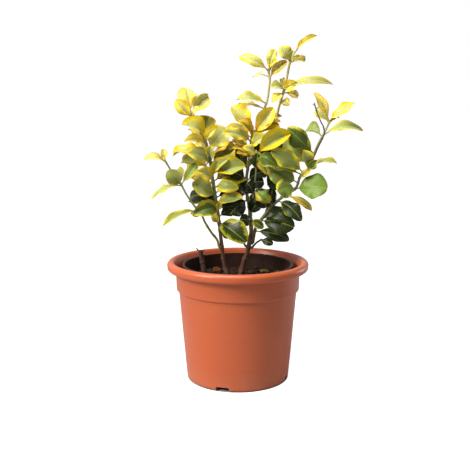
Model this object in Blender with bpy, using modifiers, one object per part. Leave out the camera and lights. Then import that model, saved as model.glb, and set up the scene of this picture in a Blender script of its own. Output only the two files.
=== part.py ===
"""A potted euonymus: a leafy shrub with yellow-edged leaves in a thin grower's pot, dropped into a
terracotta-coloured plastic pot with a rolled rim.

Frame: +Z up, the viewer's front is -Y, the origin is at the middle of the underside of the outer pot.
Sizes below are in millimetres and are turned into metres by MM where meshes are made.
"""

import math

import bmesh
import bpy
from mathutils import Vector

MM = 0.001
GAP = 0.3            # clear space between pieces that touch

# Outer pot
POT_HEIGHT = 161.0
RIM_RADIUS = 95.0
RIM_WIDTH = 10.5     # of the rolled rim, seen from above
RIM_DROP = 12.0      # height of the rolled rim
RIM_OVERHANG = 11.8  # how far the rim stands out from the collar
COLLAR_DEPTH = 38.5  # from the top of the pot down to the step
STEP_IN = 3.6        # how far the wall steps in below the collar
WALL_DRAFT = 4.7     # degrees that the wall leans in towards the foot
FOOT_ROUND = 4.0
POT_WALL = 2.2
POT_FLOOR = 2.5
DRAIN_COUNT = 4
DRAIN_WIDTH = 18.0
DRAIN_HEIGHT = 6.0
DRAIN_REACH = 17.0   # from the foot in towards the middle
DRAIN_FIRST = -107.0  # degrees, measured from +X

# Grower's pot inside it
GROWER_DROP = 4.5    # its lip sits this far below the top of the outer pot
LIP_CLEARANCE = 6.5  # between its lip and the collar's inner wall
BASE_CLEARANCE = 6.3  # between its base and the outer pot's inner wall
GROWER_LIP_WIDTH = 3.2
GROWER_LIP_DEPTH = 5.0
GROWER_WALL = 1.1
GROWER_HOLES = 6
GROWER_HOLE_RADIUS = 4.5
GROWER_HOLE_INSET = 19.0  # from the edge of its base

# Potting mix
MIX_BELOW_LIP = 18.5
MIX_EDGE_ROUND = 3.0
PLANTING_DEPTH = 16.0

TURN_STEPS = 40

# Leaves
BLADE_THICKNESS = 0.8
PETIOLE_SHARE = 0.14   # of a leaf's length
PETIOLE_WIDTH = 1.7
LEAF_FULLNESS = 1.3    # over the widths in the plan
LEAF_ROWS = 6
LEAF_FOLD = 0.22       # how much the halves rise on each side of the midrib
TUBE_SPACING = 13.0    # between the points of a stem's tube

COLLAR_RADIUS = RIM_RADIUS - RIM_OVERHANG
STEP_HEIGHT = POT_HEIGHT - COLLAR_DEPTH
FOOT_RADIUS = COLLAR_RADIUS - STEP_IN - STEP_HEIGHT * math.tan(math.radians(WALL_DRAFT))
GROWER_TOP = POT_HEIGHT - GROWER_DROP
GROWER_LIP_RADIUS = COLLAR_RADIUS - POT_WALL - LIP_CLEARANCE
GROWER_BASE_RADIUS = FOOT_RADIUS - POT_WALL - BASE_CLEARANCE
MIX_TOP = GROWER_TOP - MIX_BELOW_LIP
MIX_EDGE = GROWER_LIP_RADIUS - GROWER_LIP_WIDTH - GAP

# The plant's heights below are measured with the surface of the mix at this height, and move with it.
PLANT_GROUND = 138.0
STUB_INSET = 25.0      # from the edge of the mix to the pruned stub

# Each stem: the stem it grows from, the height where it leaves it, its radius low and high, the height
# where its young tip begins, and the points that it passes, from low to high. A stem without a parent is
# rooted in the mix, and its first point is then where it comes out of it.
STEMS = {
    "left_stem": (None, None, 2.8, 1.2, 298, (
        (-14, 12, PLANT_GROUND), (-19, 12, 156), (-21, 12, 172), (-23, 12, 190), (-26, 11, 216), (-30, 9, 244),
        (-34, 8, 272), (-38, 7, 302), (-43, 6, 320), (-51, 5, 335), (-60, 4, 349), (-62, 4, 358))),
    "centre_stem": (None, None, 3.4, 1.3, 312, (
        (4, 8, PLANT_GROUND), (8, 8, 156), (13, 8, 170), (16, 8, 187), (18, 8, 200), (16, 9, 228),
        (11, 10, 261), (15, 10, 295), (18, 9, 321), (21, 8, 332))),
    "left_side_shoot": ("left_stem", 177, 1.7, 1.1, 258, (
        (-28, 9, 187), (-36, 6, 198), (-44, 3, 212), (-49, 0, 224), (-57, -3, 234), (-68, -7, 251),
        (-75, -10, 265), (-87, -14, 283), (-94, -16, 295))),
    "right_stem": ("centre_stem", 184, 2.3, 1.1, 298, (
        (24, 4, 204), (32, 1, 217), (45, -3, 234), (61, -6, 249), (76, -8, 259), (82, -9, 275),
        (94, -10, 287), (99, -11, 304), (106, -12, 321), (113, -13, 334), (118, -13, 346))),
    "tall_right_shoot": ("right_stem", 226, 1.9, 1.3, 377, (
        (45, 9, 240), (47, 11, 256), (48, 12, 275), (49, 13, 308), (49, 13, 337), (53, 12, 360),
        (57, 11, 374), (62, 10, 392), (65, 9, 408), (68, 8, 423), (72, 8, 432))),
    "tall_left_shoot": ("centre_stem", 288, 1.7, 1.3, 356, (
        (20, 16, 302), (22, 18, 320), (29, 18, 347), (38, 18, 370), (41, 17, 388), (42, 16, 400),
        (40, 16, 411))),
    "inner_shoot": ("centre_stem", 232, 1.3, 1.0, 288, (
        (20, 1, 243), (22, -4, 262), (24, -9, 286), (24, -12, 306))),
    "rear_shoot": ("centre_stem", 203, 1.6, 1.1, 284, (
        (17, 20, 215), (14, 38, 240), (8, 53, 268), (3, 60, 300))),
    "rear_left_shoot": ("left_stem", 232, 1.4, 1.0, 280, (
        (-33, 21, 246), (-41, 34, 268), (-47, 42, 298))),
    "rear_right_shoot": ("right_stem", 246, 1.4, 1.0, 284, (
        (66, 8, 258), (71, 26, 279), (74, 36, 302))),
    "low_right_twig": ("centre_stem", 177, 1.5, 1.2, None, ((25, 3, 184), (33, 0, 190))),
    "short_left_twig": ("centre_stem", 178, 1.5, 1.2, None, ((8, 5, 183), (2, 2, 189))),
    "dead_twig": ("right_stem", 290, 0.9, 0.7, None, (
        (97, -19, 298), (103, -24, 314), (109, -27, 328), (109, -28, 338), (104, -29, 348), (99, -30, 360),
        (96, -30, 370))),
    "pruned_stub": (None, None, 3.6, 2.9, None, (
        (STUB_INSET - MIX_EDGE, 20, PLANT_GROUND), (STUB_INSET - MIX_EDGE - 2, 20, 152),
        (STUB_INSET - MIX_EDGE - 4, 20, 162), (STUB_INSET - MIX_EDGE - 5, 20, 171))),
}

# Young tips, each named for its stem. A leaf is: the height where it leaves the stem, the way from there
# to its tip (right, back, up), its width, its arch as a share of its length, and where its face looks.
TIPS = {
    "left_stem": ("left_shoot_tip", (
        (356, (-6, 6, 33), 19, 0.06, "front"),
        (350, (-20, -6, 22), 15, 0.10, "front"),
        (354, (22, 4, 25), 15, 0.08, "front"),
        (345, (6, -16, 20), 9, 0.10, "up"),
        (323, (-26, -14, 20), 18, 0.24, "front_up"),
        (324, (6, 18, 26), 18, 0.06, "front"),
        (320, (-22, 14, 17), 12, 0.10, "up"),
        (309, (24, -6, 28), 22, 0.08, "front"),
        (304, (-50, 6, 1), 16, 0.12, "front_up"),
    )),
    "left_side_shoot": ("left_side_tip", (
        (293, (-27, -6, 5), 10, 0.30, "front_up"),
        (294, (-3, 4, 16), 7, 0.05, "front"),
        (264, (-15, -14, 18), 15, 0.08, "front"),
        (265, (-6, 16, 19), 13, 0.08, "front"),
        (263, (-38, -14, -16), 11, 0.28, "front_up"),
        (264, (20, 8, 28), 10, 0.08, "front"),
    )),
    "centre_stem": ("centre_tip", (
        (330, (-28, 2, 35), 18, 0.08, "front"),
        (330, (24, -16, 32), 16, 0.06, "front"),
        (331, (36, 2, 24), 10, 0.08, "front_up"),
        (328, (-13, -14, 19), 10, 0.10, "up"),
        (319, (-36, -22, 14), 13, 0.10, "front_up"),
        (324, (-34, 12, 16), 10, 0.08, "front_up"),
    )),
    "inner_shoot": ("inner_tip", (
        (304, (42, -12, 28), 19, 0.12, "front_up"),
        (298, (26, -18, -8), 20, 0.34, "front_up"),
        (294, (14, -24, -10), 13, 0.16, "up"),
        (303, (-14, -16, 12), 12, 0.10, "front_up"),
    )),
    "tall_left_shoot": ("tall_left_tip", (
        (369, (-37, -6, 8), 14, 0.10, "front_up"),
        (362, (-34, 12, 8), 10, 0.08, "up"),
        (411, (-38, -6, 18), 12, 0.20, "front"),
        (410, (9, 6, 29), 10, 0.06, "front"),
        (402, (20, -8, 21), 10, 0.08, "front"),
        (408, (10, -13, 15), 7, 0.08, "up"),
        (403, (-22, 10, 4), 8, 0.10, "up"),
    )),
    "tall_right_shoot": ("tall_right_tip", (
        (430, (30, -4, 25), 9, 0.10, "front_up"),
        (421, (-12, -8, 19), 13, 0.06, "front"),
        (422, (3, -10, 13), 8, 0.06, "front"),
        (421, (20, 6, 3), 9, 0.12, "up"),
        (386, (62, -10, 10), 11, 0.26, "front_up"),
        (387, (-17, -10, 5), 11, 0.10, "front_up"),
        (382, (-14, -12, -10), 10, 0.12, "front"),
        (387, (16, -14, 8), 13, 0.10, "front"),
        (383, (21, 4, -4), 9, 0.10, "front"),
        (388, (-3, 8, 14), 6, 0.05, "front"),
    )),
    "right_stem": ("right_shoot_tip", (
        (344, (-16, 8, 18), 12, 0.08, "front_up"),
        (345, (-20, -6, 37), 11, 0.05, "front"),
        (343, (32, -6, 27), 15, 0.16, "front_up"),
        (344, (9, -13, 9), 7, 0.10, "up"),
        (327, (50, -8, 12), 14, 0.30, "front_up"),
        (327, (-22, 14, 8), 14, 0.12, "up"),
        (304, (-34, -13, 34), 19, 0.08, "front"),
    )),
    "rear_shoot": ("rear_tip", (
        (298, (-20, 18, 14), 16, 0.14, "up"),
        (297, (20, 18, 12), 17, 0.14, "up"),
        (299, (2, 8, 26), 14, 0.08, "back"),
        (289, (-6, 34, -4), 19, 0.20, "up"),
        (288, (-30, 2, 2), 16, 0.20, "up"),
    )),
    "rear_left_shoot": ("rear_left_tip", (
        (296, (-24, 16, 12), 16, 0.16, "up"),
        (296, (12, 24, 10), 16, 0.14, "up"),
        (297, (-6, 8, 26), 13, 0.08, "back"),
        (285, (-26, 20, -8), 18, 0.22, "up"),
        (285, (10, 30, -6), 17, 0.22, "up"),
    )),
    "rear_right_shoot": ("rear_right_tip", (
        (300, (22, 18, 12), 16, 0.16, "up"),
        (300, (-14, 24, 10), 16, 0.14, "up"),
        (301, (4, 8, 26), 13, 0.08, "back"),
        (289, (30, 14, -6), 18, 0.22, "up"),
        (289, (-8, 30, -8), 17, 0.22, "up"),
    )),
}

# Leaves that stand alone on older wood: the stem, then as above.
LEAVES = {
    "leaf_01": ("left_stem", 290, (-28, -16, 16), 20, 0.12, "front_up"),
    "leaf_02": ("left_stem", 284, (-40, 12, 8), 16, 0.14, "front_up"),
    "leaf_03": ("left_stem", 267, (-18, -24, 16), 13, 0.12, "front_up"),
    "leaf_04": ("left_stem", 263, (-29, 2, 11), 13, 0.20, "front_up"),
    "leaf_05": ("left_stem", 246, (-27, -14, 20), 17, 0.10, "front"),
    "leaf_06": ("left_stem", 236, (-37, 13, 8), 18, 0.32, "front_up"),
    "leaf_07": ("left_stem", 222, (-30, -26, 4), 16, 0.26, "front_up"),
    "leaf_08": ("left_stem", 294, (40, -2, 27), 15, 0.18, "up"),
    "leaf_09": ("left_stem", 289, (32, 12, 25), 14, 0.10, "front_up"),
    "leaf_10": ("left_stem", 279, (44, -18, 10), 19, 0.08, "front"),
    "leaf_11": ("left_stem", 266, (32, 8, 16), 16, 0.10, "front_up"),
    "leaf_12": ("left_stem", 259, (31, -20, 2), 15, 0.12, "front_up"),
    "leaf_13": ("left_stem", 239, (37, -18, 6), 14, 0.10, "front_up"),
    "leaf_14": ("left_stem", 230, (20, 16, -3), 14, 0.16, "up"),
    "leaf_15": ("left_stem", 211, (36, -28, -21), 22, 0.16, "front_up"),
    "leaf_16": ("left_side_shoot", 228, (-46, -20, -16), 11, 0.22, "front_up"),
    "leaf_17": ("inner_shoot", 256, (20, -15, -12), 16, 0.14, "front_up"),
    "leaf_18": ("centre_stem", 242, (-24, -12, -18), 20, 0.14, "front_up"),
    "leaf_19": ("centre_stem", 306, (-22, -18, 6), 12, 0.10, "front_up"),
    "leaf_20": ("right_stem", 292, (-37, 14, 19), 17, 0.22, "front_up"),
    "leaf_21": ("right_stem", 279, (-42, -18, 31), 19, 0.12, "front"),
    "leaf_22": ("right_stem", 266, (-38, 5, 18), 21, 0.08, "front"),
    "leaf_23": ("right_stem", 258, (-24, -29, 1), 18, 0.12, "front_up"),
    "leaf_24": ("right_stem", 289, (33, -6, 5), 10, 0.12, "up"),
    "leaf_25": ("right_stem", 258, (40, -18, 3), 26, 0.10, "front_up"),
    "leaf_26": ("right_stem", 250, (37, 2, -20), 11, 0.12, "front_up"),
    "leaf_27": ("right_stem", 242, (29, -24, -20), 16, 0.14, "front_up"),
    "leaf_28": ("right_stem", 214, (44, -22, -5), 21, 0.14, "front_up"),
    "leaf_29": ("right_stem", 200, (46, -8, -9), 14, 0.14, "front_up"),
}

# Bark chips lying on the mix: bearing from +X in degrees, distance in from the edge of the mix, turn in
# degrees, and length, width, height.
BARK_CHIPS = {
    "bark_chip_1": (134, 29, 25, (9, 6, 5)),
    "bark_chip_2": (35, 26, -35, (11, 5, 3)),
    "bark_chip_3": (15, 15, 60, (8, 5, 4)),
}

FACES = {
    "up": (0, -0.7, 1),
    "front_up": (0, -1, 0.7),
    "front": (0, -1, 0.3),
    "back": (0, 1, 0.45),
}

# Colour (linear red, green, blue), roughness
FINISHES = {
    "terracotta_plastic": ((0.56, 0.185, 0.072), 0.45),
    "black_plastic": ((0.012, 0.011, 0.012), 0.5),
    "potting_mix": ((0.045, 0.026, 0.016), 0.95),
    "bark": ((0.17, 0.075, 0.03), 0.9),
    "old_wood": ((0.15, 0.105, 0.06), 0.8),
    "green_stem": ((0.17, 0.24, 0.06), 0.55),
    "old_leaf": ((0.06, 0.12, 0.02), 0.35),
    "young_leaf": ((0.45, 0.45, 0.05), 0.35),
}


def clear_scene():
    for item in list(bpy.data.objects):
        bpy.data.objects.remove(item, do_unlink=True)


def make_collection(name):
    collection = bpy.data.collections.new(name)
    bpy.context.scene.collection.children.link(collection)
    return collection


def make_finish(name):
    colour, roughness = FINISHES[name]
    material = bpy.data.materials.new(name)
    material.use_nodes = True
    shader = material.node_tree.nodes["Principled BSDF"]
    shader.inputs["Base Color"].default_value = (*colour, 1)
    shader.inputs["Roughness"].default_value = roughness
    shader.inputs["Metallic"].default_value = 0
    material.diffuse_color = (*colour, 1)
    return material


def add_object(name, data, finish, collection):
    item = bpy.data.objects.new(name, data)
    collection.objects.link(item)
    if finish:
        data.materials.append(finish)
    return item


def hide_helper(item):
    item.hide_render = True
    item.display_type = "WIRE"
    return item


def cut(item, cutter, operation="DIFFERENCE"):
    modifier = item.modifiers.new(cutter.name, "BOOLEAN")
    modifier.operation = operation
    modifier.solver = "EXACT"
    modifier.object = cutter


def turned(name, profile, finish, collection):
    """A profile of (radius, height) points, from the inner middle over the top to the outer middle."""
    mesh = bpy.data.meshes.new(name)
    form = bmesh.new()
    points = [form.verts.new((radius * MM, 0, height * MM)) for radius, height in profile]
    for first, second in zip(points, points[1:]):
        form.edges.new((first, second))
    form.to_mesh(mesh)
    form.free()
    item = add_object(name, mesh, finish, collection)
    screw = item.modifiers.new("turn", "SCREW")
    screw.steps = TURN_STEPS
    screw.render_steps = TURN_STEPS
    screw.use_merge_vertices = True
    screw.merge_threshold = 0.00005
    screw.use_smooth_shade = True
    return item


def round_corner(centre, radius_x, radius_z, start, end, pieces):
    """Points on a quarter or half ellipse in the profile's plane, angles in degrees."""
    angles = [math.radians(start + (end - start) * i / pieces) for i in range(pieces + 1)]
    return [(centre[0] + radius_x * math.cos(a), centre[1] + radius_z * math.sin(a)) for a in angles]


def wall_radius(height):
    """Outer radius of the tapered wall below the collar."""
    return FOOT_RADIUS + height * math.tan(math.radians(WALL_DRAFT))


def build_outer_pot(finish, parts, helpers):
    half_rim = RIM_WIDTH / 2
    rim_middle = (RIM_RADIUS - half_rim, POT_HEIGHT - half_rim)
    rim_bottom = POT_HEIGHT - RIM_DROP
    profile = [(0, POT_FLOOR), (wall_radius(POT_FLOOR) - POT_WALL - 3, POT_FLOOR)]
    profile += [(wall_radius(POT_FLOOR + 4) - POT_WALL, POT_FLOOR + 4)]
    profile += [(wall_radius(STEP_HEIGHT) - POT_WALL, STEP_HEIGHT - 2)]
    profile += [(COLLAR_RADIUS - POT_WALL, STEP_HEIGHT + 3)]
    profile += [(COLLAR_RADIUS - POT_WALL + 0.8, rim_middle[1] - 3)]
    profile += round_corner(rim_middle, half_rim, half_rim, 180, 0, 6)
    profile += round_corner((RIM_RADIUS - 2, rim_bottom + 2), 2, 2, 0, -90, 2)
    profile += [(COLLAR_RADIUS + 1.6, rim_bottom), (COLLAR_RADIUS + 0.6, rim_bottom + 3)]
    profile += [(COLLAR_RADIUS, rim_bottom - 3), (COLLAR_RADIUS - 0.6, STEP_HEIGHT + 1)]
    profile += [(COLLAR_RADIUS - 1.2, STEP_HEIGHT), (wall_radius(STEP_HEIGHT), STEP_HEIGHT - 1)]
    foot = (wall_radius(FOOT_ROUND) - FOOT_ROUND, FOOT_ROUND)
    profile += round_corner(foot, FOOT_ROUND, FOOT_ROUND, 0, -90, 3)
    profile += [(0, 0)]
    pot = turned("outer_pot", profile, finish, parts)
    for index in range(DRAIN_COUNT):
        angle = math.radians(DRAIN_FIRST + 360 / DRAIN_COUNT * index)
        length = DRAIN_REACH + 10
        middle = FOOT_RADIUS - DRAIN_REACH + length / 2
        mesh = bpy.data.meshes.new(f"drain_cutter_{index + 1}")
        form = bmesh.new()
        bmesh.ops.create_cube(form, size=1)
        for vertex in form.verts:
            vertex.co.x *= length * MM
            vertex.co.y *= DRAIN_WIDTH * MM
            vertex.co.z *= 2 * DRAIN_HEIGHT * MM
        form.to_mesh(mesh)
        form.free()
        cutter = hide_helper(add_object(mesh.name, mesh, None, helpers))
        cutter.location = (middle * math.cos(angle) * MM, middle * math.sin(angle) * MM, 0)
        cutter.rotation_euler.z = angle
        cut(pot, cutter)
    return pot


def grower_radius(height):
    """Outer radius of the grower's pot wall at a height."""
    low = POT_FLOOR + GAP
    high = GROWER_TOP - GROWER_LIP_DEPTH
    top_radius = GROWER_LIP_RADIUS - GROWER_LIP_WIDTH + GROWER_WALL
    return GROWER_BASE_RADIUS + (top_radius - GROWER_BASE_RADIUS) * (height - low) / (high - low)


def build_grower_pot(finish, parts, helpers):
    low = POT_FLOOR + GAP
    inside_low = low + GROWER_WALL
    lip_low = GROWER_TOP - GROWER_LIP_DEPTH
    inner_top = GROWER_LIP_RADIUS - GROWER_LIP_WIDTH
    profile = [(0, inside_low), (grower_radius(inside_low) - GROWER_WALL - 2, inside_low)]
    profile += [(grower_radius(inside_low + 2) - GROWER_WALL, inside_low + 2)]
    profile += [(grower_radius(lip_low) - GROWER_WALL, lip_low), (inner_top, GROWER_TOP - 1)]
    profile += [(inner_top + 0.8, GROWER_TOP), (GROWER_LIP_RADIUS - 0.8, GROWER_TOP)]
    profile += [(GROWER_LIP_RADIUS, GROWER_TOP - 1), (GROWER_LIP_RADIUS, lip_low)]
    profile += [(GROWER_LIP_RADIUS - GROWER_WALL, lip_low)]
    profile += [(GROWER_LIP_RADIUS - GROWER_WALL, GROWER_TOP - 1.6)]
    profile += [(grower_radius(lip_low) + 0.3, GROWER_TOP - 1.6), (grower_radius(lip_low), lip_low)]
    profile += [(grower_radius(low + 2), low + 2), (grower_radius(low) - 2, low), (0, low)]
    pot = turned("grower_pot", profile, finish, parts)
    for index in range(GROWER_HOLES):
        angle = 2 * math.pi * index / GROWER_HOLES
        mesh = bpy.data.meshes.new(f"hole_cutter_{index + 1}")
        form = bmesh.new()
        radius = GROWER_HOLE_RADIUS * MM
        bmesh.ops.create_cone(form, cap_ends=True, segments=12, radius1=radius, radius2=radius,
                              depth=4 * GROWER_WALL * MM)
        form.to_mesh(mesh)
        form.free()
        cutter = hide_helper(add_object(mesh.name, mesh, None, helpers))
        ring = GROWER_BASE_RADIUS - GROWER_HOLE_INSET
        cutter.location = (ring * math.cos(angle) * MM, ring * math.sin(angle) * MM,
                           (low + GROWER_WALL / 2) * MM)
        cut(pot, cutter)
    return pot


def build_mix(finish, parts, helpers):
    """The root ball and potting mix as one solid, with a snug socket for each rooted stem."""
    low = POT_FLOOR + GAP + GROWER_WALL + GAP
    clear = GROWER_WALL + GAP
    edge = grower_radius(MIX_TOP) - clear
    profile = [(0, MIX_TOP)]
    profile += round_corner((edge - MIX_EDGE_ROUND, MIX_TOP - MIX_EDGE_ROUND), MIX_EDGE_ROUND,
                            MIX_EDGE_ROUND, 90, 0, 3)
    profile += [(grower_radius(low + 3) - clear, low + 3), (grower_radius(low) - clear - 3, low), (0, low)]
    mix = turned("potting_mix", profile, finish, parts)
    for name, (parent, _, low_radius, _, _, points) in STEMS.items():
        if parent:
            continue
        mesh = bpy.data.meshes.new(f"{name}_socket")
        form = bmesh.new()
        radius = (low_radius + GAP) * MM
        depth = 2 * (PLANTING_DEPTH + GAP) * MM
        bmesh.ops.create_cone(form, cap_ends=True, segments=16, radius1=radius, radius2=radius,
                              depth=depth)
        form.to_mesh(mesh)
        form.free()
        cutter = hide_helper(add_object(mesh.name, mesh, None, helpers))
        cutter.location = Vector((points[0][0], points[0][1], MIX_TOP)) * MM
        cut(mix, cutter)
    return mix


def smooth_path(points, pieces=12):
    """Points along a smooth curve that passes through the given ones."""
    points = [Vector(point) for point in points]
    padded = [2 * points[0] - points[1], *points, 2 * points[-1] - points[-2]]
    path = []
    for before, start, end, after in zip(padded, padded[1:], padded[2:], padded[3:]):
        for step in range(pieces):
            t = step / pieces
            path.append(0.5 * (2 * start + (end - before) * t
                               + (2 * before - 5 * start + 4 * end - after) * t ** 2
                               + (3 * start - before - 3 * end + after) * t ** 3))
    return path + [points[-1]]


class Stem:
    """A stem's middle line with its radius, from which pieces and leaves take their places."""

    def __init__(self, name, parent, leaves_at, low_radius, top_radius, points):
        self.low_radius = low_radius
        self.top_radius = top_radius
        self.rooted = parent is None
        points = [Vector((x, y, z + MIX_TOP - PLANT_GROUND)) for x, y, z in points]
        if parent:
            place, along, radius = parent.at(leaves_at)
            out = points[0] - place
            out = (out - out.dot(along) * along).normalized()
            start = place + out * (radius + low_radius + GAP)
            self.path = smooth_path([start, *points])
        else:
            ground = points[0]
            root = ground - Vector((0, 0, PLANTING_DEPTH))
            rising = ground + Vector((0, 0, 2))
            self.path = [root, *smooth_path([rising, *points[1:]])]
        self.lengths = [0.0]
        for first, second in zip(self.path, self.path[1:]):
            self.lengths.append(self.lengths[-1] + (second - first).length)

    def radius(self, length):
        return self.low_radius + (self.top_radius - self.low_radius) * length / self.lengths[-1]

    def on_path(self, length):
        """The point at a length from the stem's lower end, and the way the stem runs there."""
        length = min(max(length, 0.0), self.lengths[-1])
        index = next(i for i in range(1, len(self.path)) if self.lengths[i] >= length)
        first, second = self.path[index - 1], self.path[index]
        share = (length - self.lengths[index - 1]) / (self.lengths[index] - self.lengths[index - 1])
        return first.lerp(second, share), (second - first).normalized()

    def length_at(self, height):
        """How far along the stem a height of the plan lies."""
        height += MIX_TOP - PLANT_GROUND
        for index in range(1, len(self.path)):
            low, high = self.path[index - 1].z, self.path[index].z
            if low <= height <= high and high > low:
                share = (height - low) / (high - low)
                return self.lengths[index - 1] + share * (self.lengths[index] - self.lengths[index - 1])
        return self.lengths[-1]

    def at(self, height):
        length = self.length_at(height)
        place, along = self.on_path(length)
        return place, along, self.radius(length)

    def stretch(self, start, end):
        """Evenly spaced (point, radius) pairs between two lengths, with a straight foot in its socket."""
        foot = [0.0] if self.rooted and start == 0 else []
        start = self.lengths[1] if foot else start
        count = max(2, round((end - start) / TUBE_SPACING) + 1)
        marks = foot + [start + (end - start) * i / (count - 1) for i in range(count)]
        return [(self.on_path(mark)[0], self.radius(mark)) for mark in marks]


def tube(name, stretch, finish, collection):
    curve = bpy.data.curves.new(name, "CURVE")
    curve.dimensions = "3D"
    curve.bevel_depth = MM
    curve.bevel_resolution = 2
    curve.use_fill_caps = True
    spline = curve.splines.new("POLY")
    spline.points.add(len(stretch) - 1)
    for point, (place, radius) in zip(spline.points, stretch):
        point.co = (*(place * MM), 1)
        point.radius = radius
    return add_object(name, curve, finish, collection)


def as_mesh(item):
    """The same object as a closed mesh, so that it can be joined with others."""
    graph = bpy.context.evaluated_depsgraph_get()
    mesh = bpy.data.meshes.new_from_object(item.evaluated_get(graph))
    form = bmesh.new()
    form.from_mesh(mesh)
    bmesh.ops.remove_doubles(form, verts=form.verts, dist=0.00001)
    bmesh.ops.recalc_face_normals(form, faces=form.faces)
    form.to_mesh(mesh)
    form.free()
    solid = bpy.data.objects.new(item.name, mesh)
    item.users_collection[0].objects.link(solid)
    solid.matrix_world = item.matrix_world
    name = item.name
    bpy.data.objects.remove(item, do_unlink=True)
    solid.name = name
    return solid


def blade_half_width(share, width):
    """Half the leaf's width at a share of its length: a thin petiole, then an oval blade."""
    if share <= PETIOLE_SHARE + 0.001:
        return PETIOLE_WIDTH / 2
    along = (share - PETIOLE_SHARE) / (1 - PETIOLE_SHARE)
    oval = math.sin(math.pi * along ** 0.86) if along < 1 else 0
    return max(PETIOLE_WIDTH / 2, LEAF_FULLNESS * width / 2 * max(oval, 0) ** 0.72)


def leaf(name, base, reach, width, arch, face, finish, collection):
    """One leaf from its base to its tip, arched and folded along the midrib, with its own thickness."""
    reach = Vector(reach)
    length = reach.length
    along = reach.normalized()
    looks = Vector(FACES[face])
    normal = (looks - looks.dot(along) * along).normalized()
    across = normal.cross(along)
    mesh = bpy.data.meshes.new(name)
    form = bmesh.new()
    bmesh.ops.create_grid(form, x_segments=LEAF_ROWS, y_segments=2, size=0.5)
    for vertex in form.verts:
        share = vertex.co.x + 0.5
        side = 2 * vertex.co.y
        half = blade_half_width(share, width)
        rise = 4 * arch * length * share * (1 - share) + LEAF_FOLD * half * abs(side)
        vertex.co = (along * length * share + across * half * side + normal * rise) * MM
    form.to_mesh(mesh)
    form.free()
    mesh.shade_smooth()
    item = add_object(name, mesh, finish, collection)
    item.location = base * MM
    shell = item.modifiers.new("thickness", "SOLIDIFY")
    shell.thickness = BLADE_THICKNESS * MM
    shell.offset = 0
    return item


def lone_leaf(name, stem, height, reach, width, arch, face, finish, collection):
    """A leaf whose petiole ends just clear of the stem."""
    place, along, radius = stem.at(height)
    way = Vector(reach).normalized()
    lean = max(math.sqrt(1 - way.dot(along) ** 2), 0.35)
    start = (radius + GAP + BLADE_THICKNESS) / lean
    base = place + way * start
    return leaf(name, base, Vector(reach) - way * start, width, arch, face, finish, collection)


def young_tip(stem, start_height, name, leaves, finish, parts, helpers):
    """The end of a shoot with the leaves that grew on it, as one piece."""
    start = stem.length_at(start_height) + GAP
    tip = as_mesh(tube(name, stem.stretch(start, stem.lengths[-1]), finish, parts))
    for index, (height, reach, width, arch, face) in enumerate(leaves):
        place = stem.at(height)[0]
        piece = leaf(f"{name}_leaf_{index + 1}", place, Vector(reach), width, arch, face, finish, helpers)
        cut(tip, hide_helper(piece), "UNION")
    return tip


def build_bark_chip(name, bearing, inset, turn, size, finish, collection):
    mesh = bpy.data.meshes.new(name)
    form = bmesh.new()
    bmesh.ops.create_cube(form, size=1)
    for vertex in form.verts:
        vertex.co.z += 0.5
        narrow = 1 - 0.35 * vertex.co.z * (1 if vertex.co.x > 0 else 0.4)
        vertex.co.x *= size[0] * narrow * MM
        vertex.co.y *= size[1] * narrow * MM
        vertex.co.z *= size[2] * MM
    form.to_mesh(mesh)
    form.free()
    item = add_object(name, mesh, finish, collection)
    distance = MIX_EDGE - inset
    bearing = math.radians(bearing)
    item.location = (distance * math.cos(bearing) * MM, distance * math.sin(bearing) * MM,
                     (MIX_TOP + GAP) * MM)
    item.rotation_euler.z = math.radians(turn)
    edges = item.modifiers.new("worn edges", "BEVEL")
    edges.width = 0.6 * MM
    edges.segments = 1
    return item


def build_stems(finishes, parts):
    stems = {}
    for name, (parent, leaves_at, low_radius, top_radius, tip_height, points) in STEMS.items():
        stem = Stem(name, stems.get(parent), leaves_at, low_radius, top_radius, points)
        stems[name] = stem
        end = stem.length_at(tip_height) if tip_height else stem.lengths[-1]
        woody = parent is None or name in ("dead_twig", "low_right_twig", "short_left_twig")
        finish = finishes["old_wood" if woody else "green_stem"]
        tube(name, stem.stretch(0.0, end), finish, parts)
    return stems


def build():
    clear_scene()
    parts = make_collection("potted_euonymus")
    helpers = make_collection("cutters")
    finishes = {name: make_finish(name) for name in FINISHES}
    build_outer_pot(finishes["terracotta_plastic"], parts, helpers)
    build_grower_pot(finishes["black_plastic"], parts, helpers)
    build_mix(finishes["potting_mix"], parts, helpers)
    stems = build_stems(finishes, parts)
    for name, (stem, *shape) in LEAVES.items():
        lone_leaf(name, stems[stem], *shape, finishes["old_leaf"], parts)
    for stem, (name, leaves) in TIPS.items():
        start = STEMS[stem][4]
        young_tip(stems[stem], start, name, leaves, finishes["young_leaf"], parts, helpers)
    for name, chip in BARK_CHIPS.items():
        build_bark_chip(name, *chip, finishes["bark"], parts)


build()
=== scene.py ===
import math
import random

import bmesh
import bpy
from mathutils import Matrix, Vector, noise


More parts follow.
